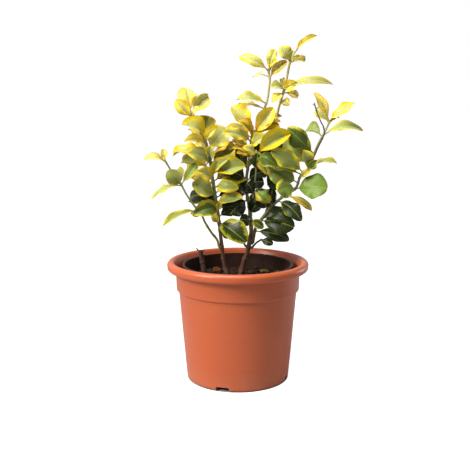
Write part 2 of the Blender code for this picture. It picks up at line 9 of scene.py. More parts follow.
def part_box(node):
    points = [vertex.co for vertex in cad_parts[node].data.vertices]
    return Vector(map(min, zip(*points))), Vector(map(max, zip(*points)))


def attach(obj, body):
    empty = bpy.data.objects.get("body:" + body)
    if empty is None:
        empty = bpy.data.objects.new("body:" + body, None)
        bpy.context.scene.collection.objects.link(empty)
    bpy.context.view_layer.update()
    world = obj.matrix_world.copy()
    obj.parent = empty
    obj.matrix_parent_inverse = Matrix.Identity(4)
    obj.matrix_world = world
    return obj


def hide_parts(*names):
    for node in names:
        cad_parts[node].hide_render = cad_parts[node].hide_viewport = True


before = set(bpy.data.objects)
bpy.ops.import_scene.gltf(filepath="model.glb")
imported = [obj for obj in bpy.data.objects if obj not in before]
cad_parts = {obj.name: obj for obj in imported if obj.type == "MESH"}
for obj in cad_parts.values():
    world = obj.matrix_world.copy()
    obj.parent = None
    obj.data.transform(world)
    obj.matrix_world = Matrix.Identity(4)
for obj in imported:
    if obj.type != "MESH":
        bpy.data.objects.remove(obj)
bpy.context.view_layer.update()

mm = 0.001               # lengths below are in millimetres until a mesh is made
print("Euonymus: frame loaded")


def linear(hexColour):
    # an sRGB hex colour in linear light
    channels = [int(hexColour[i:i + 2], 16) / 255 for i in (1, 3, 5)]
    return (*[c / 12.92 if c <= 0.04045 else ((c + 0.055) / 1.055) ** 2.4 for c in channels], 1)


def socketOf(sockets, key):
    # a key is a socket's number, or the name of one that is in use
    if isinstance(key, int):
        return sockets[key]
    return next(s for s in sockets if s.enabled and (key is None or s.name == key))


def addNode(tree, kind, settings):
    # Lower case keys are the node's own choices, and "stops" is a colour ramp. Other keys are sockets, which
    # take a value, another node, or a node together with the name of its output.
    node = tree.nodes.new("ShaderNode" + kind)
    for key, value in settings.items():
        paired = isinstance(value, tuple) and len(value) == 2
        source, output = value if paired else (value, None)
        if isinstance(source, bpy.types.Node):
            tree.links.new(socketOf(source.outputs, output), socketOf(node.inputs, key))
        elif key == "stops":
            ramp = node.color_ramp.elements
            for index, (position, hexColour) in enumerate(value):
                stop = ramp[index] if index < 2 else ramp.new(position)
                stop.position = position
                stop.color = linear(hexColour)
        elif isinstance(key, str) and key[0].islower():
            setattr(node, key, value)
        else:
            socketOf(node.inputs, key).default_value = linear(value) if isinstance(value, str) else value
    return node


def objectPlace(tree):
    return addNode(tree, "TexCoord", {}), "Object"


def stored(tree, name, output="Vector"):
    # a value that the mesh carries at its points
    return addNode(tree, "Attribute", {"attribute_name": name}), output


def split(tree, vector):
    return addNode(tree, "SeparateXYZ", {"Vector": vector})


def grain(tree, place, scale, detail=2.0, roughness=0.5):
    return addNode(tree, "TexNoise", {"Scale": scale, "Detail": detail, "Roughness": roughness,
                                      "Vector": place})


def calculate(tree, operation, first, second=0.0):
    return addNode(tree, "Math", {"operation": operation, 0: first, 1: second})


def remap(tree, value, low, high, fromLow=0.0, fromHigh=1.0, smooth=False):
    # a value carried over from one range to another and held at its ends
    kind = "SMOOTHSTEP" if smooth else "LINEAR"
    return addNode(tree, "MapRange", {"interpolation_type": kind, "From Min": fromLow, "From Max": fromHigh,
                                      "To Min": low, "To Max": high, "Value": value})


def colourRamp(tree, value, stops):
    return addNode(tree, "ValToRGB", {"stops": stops, 0: value})


def blend(tree, share, first, second):
    # from the first colour to the second
    return addNode(tree, "Mix", {"data_type": "RGBA", "Factor": share, "A": first, "B": second})


def shaded(tree, colour, shade):
    # a colour made darker and lighter by a value near 1
    return addNode(tree, "Mix", {"data_type": "RGBA", "blend_type": "MULTIPLY", "Factor": 1.0,
                                 "A": colour, "B": shade})


def bump(tree, height, strength, distance):
    return addNode(tree, "Bump", {"Strength": strength, "Distance": distance, "Height": height})


def startMaterial(name):
    material = bpy.data.materials.new(name)
    material.use_nodes = True
    material.node_tree.nodes.clear()
    return material, material.node_tree


def endMaterial(tree, settings):
    shader = addNode(tree, "BsdfPrincipled", settings)
    addNode(tree, "OutputMaterial", {"Surface": shader})


class Shape:
    # points, faces and their values in millimetres, gathered until they become one mesh
    def __init__(self):
        self.points = []
        self.faces = []
        self.slots = []
        self.places = []
        self.tones = []
        self.seeds = []

    def addPoint(self, point, place=(0, 0, 0), tone=(0, 0, 0), seed=0.0):
        self.points.append(tuple(point))
        self.places.extend(place)
        self.tones.extend(tone)
        self.seeds.append(seed)
        return len(self.points) - 1

    def addFace(self, corners, slot=0):
        self.faces.append(tuple(corners))
        self.slots.append(slot)

    def joinRings(self, rings, slot=0, capLow=True, capHigh=True):
        for low, high in zip(rings, rings[1:]):
            for index in range(len(low)):
                after = (index + 1) % len(low)
                self.addFace((low[index], low[after], high[after], high[index]), slot)
        if capLow:
            self.addFace(reversed(rings[0]), slot)
        if capHigh:
            self.addFace(rings[-1], slot)

    def toObject(self, name, materials, sharpAngle=48):
        mesh = bpy.data.meshes.new(name)
        mesh.from_pydata([[value * mm for value in point] for point in self.points], [], self.faces)
        for material in materials:
            mesh.materials.append(material)
        mesh.polygons.foreach_set("material_index", self.slots)
        for valueName, kind, field, values in (("place", "FLOAT_VECTOR", "vector", self.places),
                                               ("tone", "FLOAT_VECTOR", "vector", self.tones),
                                               ("seed", "FLOAT", "value", self.seeds)):
            mesh.attributes.new(valueName, kind, "POINT").data.foreach_set(field, values)
        form = bmesh.new()
        form.from_mesh(mesh)
        bmesh.ops.recalc_face_normals(form, faces=form.faces)
        form.to_mesh(mesh)
        form.free()
        mesh.shade_smooth()
        mesh.set_sharp_from_angle(angle=math.radians(sharpAngle))
        item = bpy.data.objects.new(name, mesh)
        bpy.context.scene.collection.objects.link(item)
        return item


def keepPiece(item, slotName, *nodes):
    # a finished piece takes the place of its nodes and rides with the part's one body
    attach(item, "root")
    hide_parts(*nodes)


def levelRing(radius, steps):
    # the places around the upright axis at one radius
    angles = [2 * math.pi * step / steps for step in range(steps)]
    return [(radius * math.cos(a), radius * math.sin(a)) for a in angles]


def ringAround(centre, sideways, other, radius, sides):
    # the points of a ring round a strand, in the plane of its two cross directions
    return [centre + (sideways * x + other * y) * radius for x, y in levelRing(1, sides)]


# Studio: a large softbox at the upper left, a smaller one above, a weak one behind on the right
studio = {
    "cameraAt": (-3.8, -1000, 369),
    "cameraPitch": 9.86,      # degrees below the horizon
    "lens": 58.05,
    "sensor": 36.0,
    "surround": 0.13,         # light that comes from all round, the white backdrop itself is 1
    "reflected": 0.75,        # the surround as glossy surfaces mirror it
    "floorGlow": 0.95,        # the floor shows white with hardly a shadow on it
    "floorLight": 0.12,       # and sends this much light up at the plant
    # the floor neither glows nor sends light inside this radius: painted shade under the pot, a thin painted
    # contact shadow at its foot
    "paintedShadowRadius": 69,          # radius beneath the pot that sends none
    "floorWidth": 40000,
    "lamps": {
        "key_softbox": ((-1500, -950, 1300), 750, 47.5, "#FFF9F2"),
        "top_softbox": ((-250, -400, 1500), 800, 22, "#FFFFFF"),
        "rim_softbox": ((1100, 600, 130), 250, 3, "#FFF0F0"),
    },
    "aim": (10, 0, 240),
}


def buildStudio():
    scene = bpy.context.scene
    scene.view_settings.view_transform = "Standard"
    camera = bpy.data.objects.new("camera", bpy.data.cameras.new("camera"))
    scene.collection.objects.link(camera)
    camera.location = Vector(studio["cameraAt"]) * mm
    camera.rotation_euler = (math.radians(90 - studio["cameraPitch"]), 0, 0)
    camera.data.lens = studio["lens"]
    camera.data.sensor_width = studio["sensor"]
    camera.data.clip_start = 0.05
    camera.data.clip_end = 100
    scene.camera = camera

    for name, (place, width, power, hexColour) in studio["lamps"].items():
        lamp = bpy.data.lights.new(name, "AREA")
        lamp.shape = "SQUARE"
        lamp.size = width * mm
        lamp.energy = power
        lamp.color = linear(hexColour)[:3]
        item = bpy.data.objects.new(name, lamp)
        scene.collection.objects.link(item)
        item.location = Vector(place) * mm
        way = Vector(studio["aim"]) - Vector(place)
        item.rotation_euler = way.to_track_quat("-Z", "Y").to_euler()

    world = bpy.data.worlds.new("white_surround")
    scene.world = world
    world.use_nodes = True
    tree = world.node_tree
    tree.nodes.clear()
    ray = addNode(tree, "LightPath", {})
    mirrored = remap(tree, (ray, "Is Glossy Ray"), studio["surround"], studio["reflected"])
    strength = remap(tree, (ray, "Is Camera Ray"), mirrored, 1.0)
    backdrop = addNode(tree, "Background", {"Color": "#FFFFFF", "Strength": strength})
    addNode(tree, "OutputWorld", {"Surface": backdrop})

    material, tree = startMaterial("acrylic_sheet_frosted_white")   # a plain pale floor with no gloss
    clouds = addNode(tree, "TexNoise", {"Scale": 3.0, "Detail": 2.0})
    paint = colourRamp(tree, clouds, [(0.0, "#A8A8A8"), (1.0, "#ACACAC")])
    ray = addNode(tree, "LightPath", {})
    glow = remap(tree, (ray, "Is Camera Ray"), studio["floorLight"], studio["floorGlow"])
    # no glow inside the pot's foot: a painted contact shadow
    fromAxis = addNode(tree, "VectorMath", {"operation": "LENGTH", 0: objectPlace(tree)})
    clear = calculate(tree, "GREATER_THAN", (fromAxis, "Value"), studio["paintedShadowRadius"] * mm)
    outside = calculate(tree, "MULTIPLY", glow, clear)
    endMaterial(tree, {"Roughness": 0.9, "Specular IOR Level": 0.1, "Base Color": paint,
                       "Emission Color": "#FFFFFF", "Emission Strength": outside})
    floor = Shape()
    half = studio["floorWidth"] / 2
    floor.addFace([floor.addPoint(corner) for corner in ((-half, -half, 0), (half, -half, 0),
                                                         (half, half, 0), (-half, half, 0))])
    floor.toObject("floor", [material])
    print("Euonymus: studio set")


# The outer pot, turned from its profile
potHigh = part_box("outer_pot")[1] / mm
potSharpAngle = 35           # degrees, edges sharper than this stay crisp on both pots
outerPot = {
    "height": potHigh.z,
    "rimRadius": potHigh.x,
    "rimWidth": 10.5,
    "rimDrop": 12.0,
    "rimLowRound": 3.6,
    "overhang": 11.8,
    "collarDepth": 38.5,
    "stepIn": 3.6,
    "draft": 4.7,            # degrees
    "footRound": 4.0,
    "footRing": 9.0,         # the ring it stands on, outside a shallow recess
    "recess": 1.0,
    "wall": 2.2,
    "floor": 2.5,
    "innerRound": 4.0,       # between the floor and the wall, inside
    "slotCount": 4,
    "slotWidth": 18.0,
    "slotHeight": 6.0,
    "slotReach": 17.0,
    "slotPast": 10.0,        # the cutter runs on this far past the foot
    "slotRound": 1.2,
    "slotFirst": -107.0,     # degrees from +X
    "turnSteps": 180,
    "colour": "#B5532A",
    "paleColour": "#C05D31",
    "dust": "#C98F72",
}


def arc(centre, radius, start, end, pieces):
    angles = [math.radians(start + (end - start) * i / pieces) for i in range(pieces + 1)]
    return [(centre[0] + radius * math.cos(a), centre[1] + radius * math.sin(a)) for a in angles]


def turn(shape, profile, steps):
    # a closed turned shape from a profile that starts and ends on the axis
    rings = []
    for radius, height in profile[1:-1]:
        rings.append([shape.addPoint((x, y, height)) for x, y in levelRing(radius, steps)])
    shape.joinRings(rings, capLow=False, capHigh=False)
    for ring, (_, height) in ((rings[0], profile[0]), (rings[-1], profile[-1])):
        middle = shape.addPoint((0, 0, height))
        for index in range(steps):
            shape.addFace((middle, ring[index], ring[(index + 1) % steps]))


def mouldedPolypropylene():
    # polypropylene, injection moulded: satin skin, a broad soft highlight, faint flow marks and dust low down
    material, tree = startMaterial("polypropylene_moulded_terracotta")
    place = objectPlace(tree)
    clouds = grain(tree, place, 1 / 0.06, 3.0)
    body = blend(tree, clouds, outerPot["colour"], outerPot["paleColour"])
    # pigment specks of 0.3 mm, drawn at 1.6 mm so that they show
    specks = remap(tree, grain(tree, place, 1 / 0.0016, 1.0), 0.96, 1.04, 0.35, 0.65)
    coloured = shaded(tree, body, specks)
    lowDown = remap(tree, (split(tree, place), "Z"), 1.0, 0.0, 0.0, 0.03)
    patches = grain(tree, place, 1 / 0.012, 4.0)
    dusty = calculate(tree, "MULTIPLY", lowDown, patches)
    dustShare = calculate(tree, "MULTIPLY", dusty, 0.3)
    surface = blend(tree, dustShare, coloured, outerPot["dust"])
    # the mould's fine spark texture is 0.2 mm, drawn at 0.9 mm
    texture = grain(tree, place, 1 / 0.0009)
    endMaterial(tree, {"Specular IOR Level": 0.5, "IOR": 1.49, "Base Color": surface,
                       "Roughness": remap(tree, patches, 0.30, 0.42),
                       "Normal": bump(tree, texture, 0.05, 0.0002)})
    return material


def buildOuterPot():
    pot = outerPot
    collar = pot["rimRadius"] - pot["overhang"]
    step = pot["height"] - pot["collarDepth"]
    slope = math.tan(math.radians(pot["draft"]))
    foot = collar - pot["stepIn"] - step * slope
    half = pot["rimWidth"] / 2
    rimBottom = pot["height"] - pot["rimDrop"]
    lowRound = pot["rimLowRound"]
    bend = pot["innerRound"]
    innerFoot = foot - pot["wall"] - 1.0
    # from the middle of the floor up the inside, over the rim and down the outside to the foot
    profile = [(0, pot["floor"]), (innerFoot - bend - 1, pot["floor"])]
    profile += arc((innerFoot - bend, pot["floor"] + bend), bend, -80, -5, 5)
    profile += [(foot + (step - 4) * slope - pot["wall"], step - 4)]
    profile += [(collar - pot["wall"] - 1.4, step - 1), (collar - pot["wall"] - 0.3, step + 2)]
    profile += [(collar - pot["wall"], step + 5), (collar - pot["wall"] + 0.9, pot["height"] - half - 3)]
    profile += arc((pot["rimRadius"] - half, pot["height"] - half), half, 172, 4, 18)
    profile += arc((pot["rimRadius"] - lowRound - 0.4, rimBottom + lowRound), lowRound, -4, -90, 8)
    profile += [(collar + 2.2, rimBottom), (collar + 1.0, rimBottom + 0.8), (collar + 0.45, rimBottom + 2.2)]
    profile += [(collar + 0.2, rimBottom - 2), (collar + 0.1, rimBottom - 5), (collar - 0.5, step + 2.2)]
    profile += arc((collar - 1.6, step + 1.2), 1.05, 0, -80, 4)
    profile += [(foot + step * slope + 0.7, step + 0.05), (foot + step * slope - 0.6, step - 0.4)]
    profile += [(foot + step * slope - 0.6, step - 0.9), (foot + (step - 1.3) * slope, step - 1.3)]
    profile += [(foot + (step - 2) * slope, step - 2), (foot + step * slope / 2, step / 2)]
    profile += arc((foot - pot["footRound"], pot["footRound"]), pot["footRound"], 0, -90, 8)
    profile += [(foot - pot["footRing"], 0), (foot - pot["footRing"] - 0.6, pot["recess"])]
    profile += [(0, pot["recess"])]
    shape = Shape()
    turn(shape, profile, pot["turnSteps"])
    item = shape.toObject("outer_pot_moulded", [mouldedPolypropylene()], potSharpAngle)

    cutters = []
    for index in range(pot["slotCount"]):
        angle = math.radians(pot["slotFirst"] + 360 / pot["slotCount"] * index)
        length = pot["slotReach"] + pot["slotPast"]
        form = bmesh.new()
        bmesh.ops.create_cube(form, size=1)
        size = Vector((length, pot["slotWidth"], 2 * pot["slotHeight"])) * mm
        bmesh.ops.scale(form, vec=size, verts=form.verts)
        upright = [e for e in form.edges if abs(e.verts[0].co.z - e.verts[1].co.z) < 1e-6 and
                   min(v.co.z for v in e.verts) > 0]
        bmesh.ops.bevel(form, geom=upright, offset=pot["slotRound"] * mm, segments=3, affect="EDGES",
                        profile=0.5)
        mesh = bpy.data.meshes.new("slot_cutter")
        form.to_mesh(mesh)
        form.free()
        cutter = bpy.data.objects.new(f"slot_cutter_{index + 1}", mesh)
        bpy.context.scene.collection.objects.link(cutter)
        middle = foot - pot["slotReach"] + length / 2
        cutter.location = (middle * math.cos(angle) * mm, middle * math.sin(angle) * mm, 0)
        cutter.rotation_euler.z = angle
        cut = item.modifiers.new("drain slot", "BOOLEAN")
        cut.object = cutter
        cut.solver = "EXACT"
        cutters.append(cutter)
    applyModifiers(item)
    for cutter in cutters:
        bpy.data.objects.remove(cutter)
    keepPiece(item, "terracotta_plastic", "outer_pot")
    print("Euonymus: outer pot turned")


def applyModifiers(item):
    graph = bpy.context.evaluated_depsgraph_get()
    mesh = bpy.data.meshes.new_from_object(item.evaluated_get(graph))
    item.modifiers.clear()
    item.data = mesh
    mesh.shade_smooth()
    mesh.set_sharp_from_angle(angle=math.radians(potSharpAngle))


# The grower's pot: a thin black one that stands inside
growLow, growHigh = (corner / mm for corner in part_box("grower_pot"))
growerPot = {
    "top": growHigh.z,
    "bottom": growLow.z,
    "lipRadius": growHigh.x,
    "baseRadius": 61.0,
    "lipWidth": 3.2,
    "lipDepth": 5.0,
    "wall": 1.1,
    "turnSteps": 144,
    "colour": "#34211A",
    "dust": "#4A3A30",
}


def thermoformedBlack():
    # recycled polypropylene, thermoformed: black with a soft grey sheen, dusted brown by the mix
    material, tree = startMaterial("polypropylene_thermoformed_black")
    place = objectPlace(tree)
    dust = grain(tree, place, 1 / 0.007, 5.0, 0.65)
    share = remap(tree, dust, 0.0, 0.5, 0.45, 0.8)
    surface = blend(tree, share, growerPot["colour"], growerPot["dust"])
    # drawing rings of the forming, 0.5 mm apart, drawn 2.5 mm apart
    rings = addNode(tree, "TexWave", {"bands_direction": "Z", "Scale": 1 / 0.0025 / (2 * math.pi),
                                      "Distortion": 0.6, "Vector": place})
    endMaterial(tree, {"Specular IOR Level": 0.14, "IOR": 1.49, "Base Color": surface,
                       "Roughness": remap(tree, dust, 0.42, 0.65), "Normal": bump(tree, rings, 0.1, 0.0003)})
    return material


def growerRadius(height):
    high = growerPot["top"] - growerPot["lipDepth"]
    topRadius = growerPot["lipRadius"] - growerPot["lipWidth"] + growerPot["wall"]
    share = (height - growerPot["bottom"]) / (high - growerPot["bottom"])
    return growerPot["baseRadius"] + (topRadius - growerPot["baseRadius"]) * share


def buildGrowerPot():
    pot = growerPot
    low = pot["bottom"]
    wall = pot["wall"]
    lipLow = pot["top"] - pot["lipDepth"]
    innerLip = pot["lipRadius"] - pot["lipWidth"]
    profile = [(0, low + wall), (growerRadius(low) - wall - 3, low + wall)]
    profile += arc((growerRadius(low + 3) - wall - 3, low + wall + 3), 3, -80, 0, 4)
    profile += [(growerRadius(lipLow - 3) - wall, lipLow - 3), (growerRadius(lipLow) - wall, lipLow)]
    profile += [(innerLip + 0.1, pot["top"] - 1.2)]
    profile += arc((innerLip + 1.1, pot["top"] - 1.0), 1.0, 175, 90, 4)
    profile += arc((pot["lipRadius"] - 1.0, pot["top"] - 1.0), 1.0, 90, 5, 4)
    profile += [(pot["lipRadius"], lipLow + 0.4), (pot["lipRadius"] - 0.3, lipLow)]
    profile += [(pot["lipRadius"] - 0.8, lipLow), (pot["lipRadius"] - wall, lipLow + 0.4)]
    profile += [(pot["lipRadius"] - wall, pot["top"] - 1.9)]
    profile += [(growerRadius(lipLow) + 0.2, pot["top"] - 1.9), (growerRadius(lipLow), lipLow - 0.5)]
    profile += [(growerRadius(low + 3), low + 3)]
    profile += arc((growerRadius(low + 2) - 2, low + 2), 2, 0, -90, 4) + [(0, low)]
    shape = Shape()
    turn(shape, profile, pot["turnSteps"])
    item = shape.toObject("grower_pot_black", [thermoformedBlack()], potSharpAngle)
    keepPiece(item, "black_plastic", "grower_pot")
    print("Euonymus: grower's pot turned")


# Potting mix: a crumbly top with lumps, crumbs and fibres
mixLow, mixHigh = (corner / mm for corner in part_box("potting_mix"))
pottingMix = {
    "top": mixHigh.z,
    "bottom": mixLow.z,
    "ringSpacing": 1.5,
    "steps": 150,
    "lumpHeight": 2.6,
    "grainHeight": 0.8,
    "crumbs": 520,
    "crumbWidth": (0.6, 1.6),
    "bigCrumbs": 46,
    "bigCrumbWidth": (2.0, 3.6),
    "crumbTones": (-0.25, -0.1, 0.0, 0.15, 0.35, 0.6),     # darker or paler than the mix
    "crumbRoughness": 0.55,
    "fibres": 90,
    "fibreRadius": (0.18, 0.4),
    "colours": [(0.35, "#1A100B"), (0.62, "#3B2417"), (1.15, "#7A5336")],
    "palest": 1.6,           # the highest sum of grain and tone
}


def milledPeat():
    # peat and composted bark, milled: dull and nearly black with brown crumbs and pale fibres
    material, tree = startMaterial("peat_and_bark_milled")
    grains = grain(tree, objectPlace(tree), 1 / 0.003, 6.0, 0.7)
    paler = calculate(tree, "ADD", grains, (split(tree, stored(tree, "tone")), "X"))
    share = remap(tree, paler, 0.0, 1.0, 0.0, pottingMix["palest"])
    stops = [(position / pottingMix["palest"], colour) for position, colour in pottingMix["colours"]]
    endMaterial(tree, {"Roughness": 0.92, "Specular IOR Level": 0.25,
                       "Base Color": colourRamp(tree, share, stops),
                       "Normal": bump(tree, grains, 0.7, 0.0008)})
    return material


def roundBall(detail):
    form = bmesh.new()
    bmesh.ops.create_icosphere(form, subdivisions=detail, radius=1)
    form.verts.ensure_lookup_table()
    points = [vertex.co.copy() for vertex in form.verts]
    faces = [[vertex.index for vertex in face.verts] for face in form.faces]
    form.free()
    return points, faces


def addLump(shape, ball, centre, size, rng, roughness, tone):
    # an irregular crumb: a ball pushed in and out by noise, squeezed and turned
    points, faces = ball
    aboutZ = Matrix.Rotation(rng.uniform(0, 2 * math.pi), 3, "Z")
    turned = aboutZ @ Matrix.Rotation(rng.uniform(-0.6, 0.6), 3, "X")
    shift = Vector([rng.uniform(0, 50) for _ in range(3)])
    first = len(shape.points)
    for point in points:
        push = 1 + roughness * noise.noise(point * 1.7 + shift)
        push += roughness * 0.5 * noise.noise(point * 4 + shift)
        local = Vector((point.x * size[0], point.y * size[1], point.z * size[2])) * push
        shape.addPoint(Vector(centre) + turned @ local, (0, 0, 0), tone)
    for face in faces:
        shape.addFace([first + index for index in face])


def mixHeight(x, y):
    place = Vector((x, y, 0))
    lumps = noise.noise(place / 17 + Vector((3, 1, 0))) + 0.6 * noise.noise(place / 7 + Vector((0, 9, 2)))
    grain = noise.noise(place / 2.3) + 0.5 * noise.noise(place / 1.1)
    return pottingMix["top"] - 1.2 + pottingMix["lumpHeight"] * lumps + pottingMix["grainHeight"] * grain


def addFibre(shape, points, radius, tone):
    # a thin strand through the given points, four-sided and pointed
    rings = []
    for index, point in enumerate(points):
        share = index / (len(points) - 1)
        thin = radius * (0.35 + 0.65 * math.sin(math.pi * (0.12 + 0.76 * share)))
        ahead = (points[min(index + 1, len(points) - 1)] - points[max(index - 1, 0)]).normalized()
        sideways = ahead.orthogonal().normalized()
        ring = ringAround(point, sideways, ahead.cross(sideways), thin, 4)
        rings.append([shape.addPoint(corner, (0, 0, 0), tone) for corner in ring])
    shape.joinRings(rings)


def buildPottingMix():
    rng = random.Random("potting mix")
    mix = pottingMix
    steps = mix["steps"]
    shape = Shape()
    edge = growerRadius(mix["top"]) - growerPot["wall"] - 0.15
    rings = []
    count = round(edge / mix["ringSpacing"])
    for index in range(1, count + 1):
        places = levelRing(edge * index / count, steps)
        rings.append([shape.addPoint((x, y, mixHeight(x, y))) for x, y in places])
    lowRadius = growerRadius(mix["bottom"]) - growerPot["wall"] - 0.3
    for radius, height in ((lowRadius, mix["bottom"] + 3), (lowRadius - 3, mix["bottom"])):
        rings.append([shape.addPoint((x, y, height)) for x, y in levelRing(radius, steps)])
    shape.joinRings(rings, capLow=False)
    middle = shape.addPoint((0, 0, mixHeight(0, 0)))
    for step in range(steps):
        shape.addFace((middle, rings[0][step], rings[0][(step + 1) % steps]))

    smallBall, bigBall = roundBall(1), roundBall(2)
    for index in range(mix["crumbs"] + mix["bigCrumbs"]):
        big = index >= mix["crumbs"]
        distance = (edge - 4) * math.sqrt(rng.random())
        angle = rng.uniform(0, 2 * math.pi)
        x, y = distance * math.cos(angle), distance * math.sin(angle)
        width = rng.uniform(*mix["bigCrumbWidth" if big else "crumbWidth"])
        size = (width, width * rng.uniform(0.5, 0.9), width * rng.uniform(0.35, 0.7))
        tone = (rng.choice(mix["crumbTones"]), 0, 0)
        centre = (x, y, mixHeight(x, y) + size[2] * 0.3)
        addLump(shape, bigBall if big else smallBall, centre, size, rng, mix["crumbRoughness"], tone)
    for _ in range(mix["fibres"]):
        distance = (edge - 8) * math.sqrt(rng.random())
        angle = rng.uniform(0, 2 * math.pi)
        heading = rng.uniform(0, 2 * math.pi)
        point = Vector((distance * math.cos(angle), distance * math.sin(angle), 0))
        strand = []
        for _ in range(6):
            strand.append(Vector((point.x, point.y, mixHeight(point.x, point.y) + rng.uniform(0.1, 1.1))))
            heading += rng.uniform(-0.6, 0.6)
            point = point + Vector((math.cos(heading), math.sin(heading), 0)) * rng.uniform(1.2, 2.6)
            if point.length > edge - 2:
                break
        if len(strand) > 2:
            addFibre(shape, strand, rng.uniform(*mix["fibreRadius"]), (rng.uniform(0.1, 0.8), 0, 0))
    item = shape.toObject("potting_mix_crumbly", [milledPeat()])
    keepPiece(item, "potting_mix", "potting_mix")
    print("Euonymus: potting mix laid")


# Bark chips, each with the colour of its plates
barkChips = {
    "bark_chip_1": "#A2632F",
    "bark_chip_2": "#8E7A3C",
    "bark_chip_3": "#6B4327",
}
chipForm = {
    "cuts": 6,
    "roundness": 0.55,       # from a box at 0 to a ball at 1
    "ballSize": 1.15,
    "lift": 0.6,
    "plateDepth": 0.12,
    "sharpAngle": 60,
}


def composted(name, hexColour):
    # pine bark, shredded and composted: plates of rust brown with dark seams, quite dull
    material, tree = startMaterial(name)
    squeezed = addNode(tree, "Mapping", {"Scale": (1.0, 1.0, 3.2), "Vector": objectPlace(tree)})
    plates = grain(tree, squeezed, 1 / 0.0035, 5.0, 0.7)
    surface = colourRamp(tree, plates, [(0.3, "#2E1A10"), (0.55, hexColour), (0.8, "#C08A52")])
    endMaterial(tree, {"Roughness": 0.85, "Specular IOR Level": 0.3, "Base Color": surface,
                       "Normal": bump(tree, plates, 0.8, 0.0006)})
    return material


def buildBarkChips():
    chip = chipForm
    for name, hexColour in barkChips.items():
        rng = random.Random(name)
        low, high = (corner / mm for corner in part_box(name))
        centre, size = (low + high) / 2, (high - low) / 2
        form = bmesh.new()
        bmesh.ops.create_cube(form, size=2)
        bmesh.ops.subdivide_edges(form, edges=form.edges, cuts=chip["cuts"], use_grid_fill=True)
        shift = Vector([rng.uniform(0, 40) for _ in range(3)])
        shape = Shape()
        form.verts.ensure_lookup_table()
        for vertex in form.verts:
            point = vertex.co.copy()
            point = point.lerp(point.normalized() * chip["ballSize"], chip["roundness"])
            push = 1 + 0.35 * noise.noise(point * 1.1 + shift) + 0.15 * noise.noise(point * 3.5 + shift)
            push += chip["plateDepth"] * math.sin(point.z * 7 + 3 * noise.noise(point * 1.2 + shift))
            point = Vector((point.x * size.x, point.y * size.y, point.z * size.z)) * push
            shape.addPoint(centre + point + Vector((0, 0, chip["lift"])))
        for face in form.faces:
            shape.addFace([vertex.index for vertex in face.verts])
        form.free()
        skin = composted(f"pine_bark_shredded_{name[-1]}", hexColour)
        item = shape.toObject(f"{name}_shredded", [skin], chip["sharpAngle"])
        keepPiece(item, "bark", name)
    print("Euonymus: bark chips laid")


# The plant's plan. Heights are measured with the surface of the mix at plantGround.
plantGround = 138.0
plantGap = 0.3
mixEdge = growerPot["lipRadius"] - growerPot["lipWidth"] - plantGap
stubAt = 25.0 - mixEdge      # the pruned stub's distance from the middle

# Each stem: the stem it grows from, the height where it leaves it, its radius low and high, the height where
# its young tip begins, and the points that it passes, from low to high
stemPlan = {
    "left_stem": (None, None, 2.8, 1.2, 298, (
        (-14, 12, 138), (-19, 12, 156), (-21, 12, 172), (-23, 12, 190), (-26, 11, 216), (-30, 9, 244),
        (-34, 8, 272), (-38, 7, 302), (-43, 6, 320), (-51, 5, 335), (-60, 4, 349), (-62, 4, 358))),
    "centre_stem": (None, None, 3.4, 1.3, 312, (
        (4, 8, 138), (8, 8, 156), (13, 8, 170), (16, 8, 187), (18, 8, 200), (16, 9, 228),
        (11, 10, 261), (15, 10, 295), (18, 9, 321), (21, 8, 332))),
    "left_side_shoot": ("left_stem", 177, 1.7, 1.1, 258, (
        (-28, 9, 187), (-36, 6, 198), (-44, 3, 212), (-49, 0, 224), (-57, -3, 234), (-68, -7, 251),
        (-75, -10, 265), (-87, -14, 283), (-94, -16, 295))),
    "right_stem": ("centre_stem", 184, 2.3, 1.1, 298, (
        (24, 4, 204), (32, 1, 217), (45, -3, 234), (61, -6, 249), (76, -8, 259), (82, -9, 275),
        (94, -10, 287), (99, -11, 304), (106, -12, 321), (113, -13, 334), (118, -13, 346))),
    "tall_right_shoot": ("right_stem", 226, 1.9, 1.3, 377, (
        (45, 9, 240), (47, 11, 256), (48, 12, 275), (49, 13, 308), (49, 13, 337), (53, 12, 360),
        (57, 11, 374), (62, 10, 392), (65, 9, 408), (68, 8, 423), (72, 8, 432))),
    "tall_left_shoot": ("centre_stem", 288, 1.7, 1.3, 356, (
        (20, 16, 302), (22, 18, 320), (29, 18, 347), (38, 18, 370), (41, 17, 388), (42, 16, 400),
        (40, 16, 411))),
    "inner_shoot": ("centre_stem", 232, 1.3, 1.0, 288, (
        (20, 1, 243), (22, -4, 262), (24, -9, 286), (24, -12, 306))),
    "rear_shoot": ("centre_stem", 203, 1.6, 1.1, 284, (
        (17, 20, 215), (14, 38, 240), (8, 53, 268), (3, 60, 300))),
    "rear_left_shoot": ("left_stem", 232, 1.4, 1.0, 280, (
        (-33, 21, 246), (-41, 34, 268), (-47, 42, 298))),
    "rear_right_shoot": ("right_stem", 246, 1.4, 1.0, 284, (
        (66, 8, 258), (71, 26, 279), (74, 36, 302))),
    "low_right_twig": ("centre_stem", 177, 1.5, 1.2, None, ((25, 3, 184), (33, 0, 190))),
    "short_left_twig": ("centre_stem", 178, 1.5, 1.2, None, ((8, 5, 183), (2, 2, 189))),
    "dead_twig": ("right_stem", 290, 0.9, 0.7, None, (
        (97, -19, 298), (103, -24, 314), (109, -27, 328), (109, -28, 338), (104, -29, 348), (99, -30, 360),
        (96, -30, 370))),
    "pruned_stub": (None, None, 3.6, 2.9, None, (
        (stubAt, 20, 138), (stubAt - 2, 20, 152), (stubAt - 4, 20, 162), (stubAt - 5, 20, 171))),
}
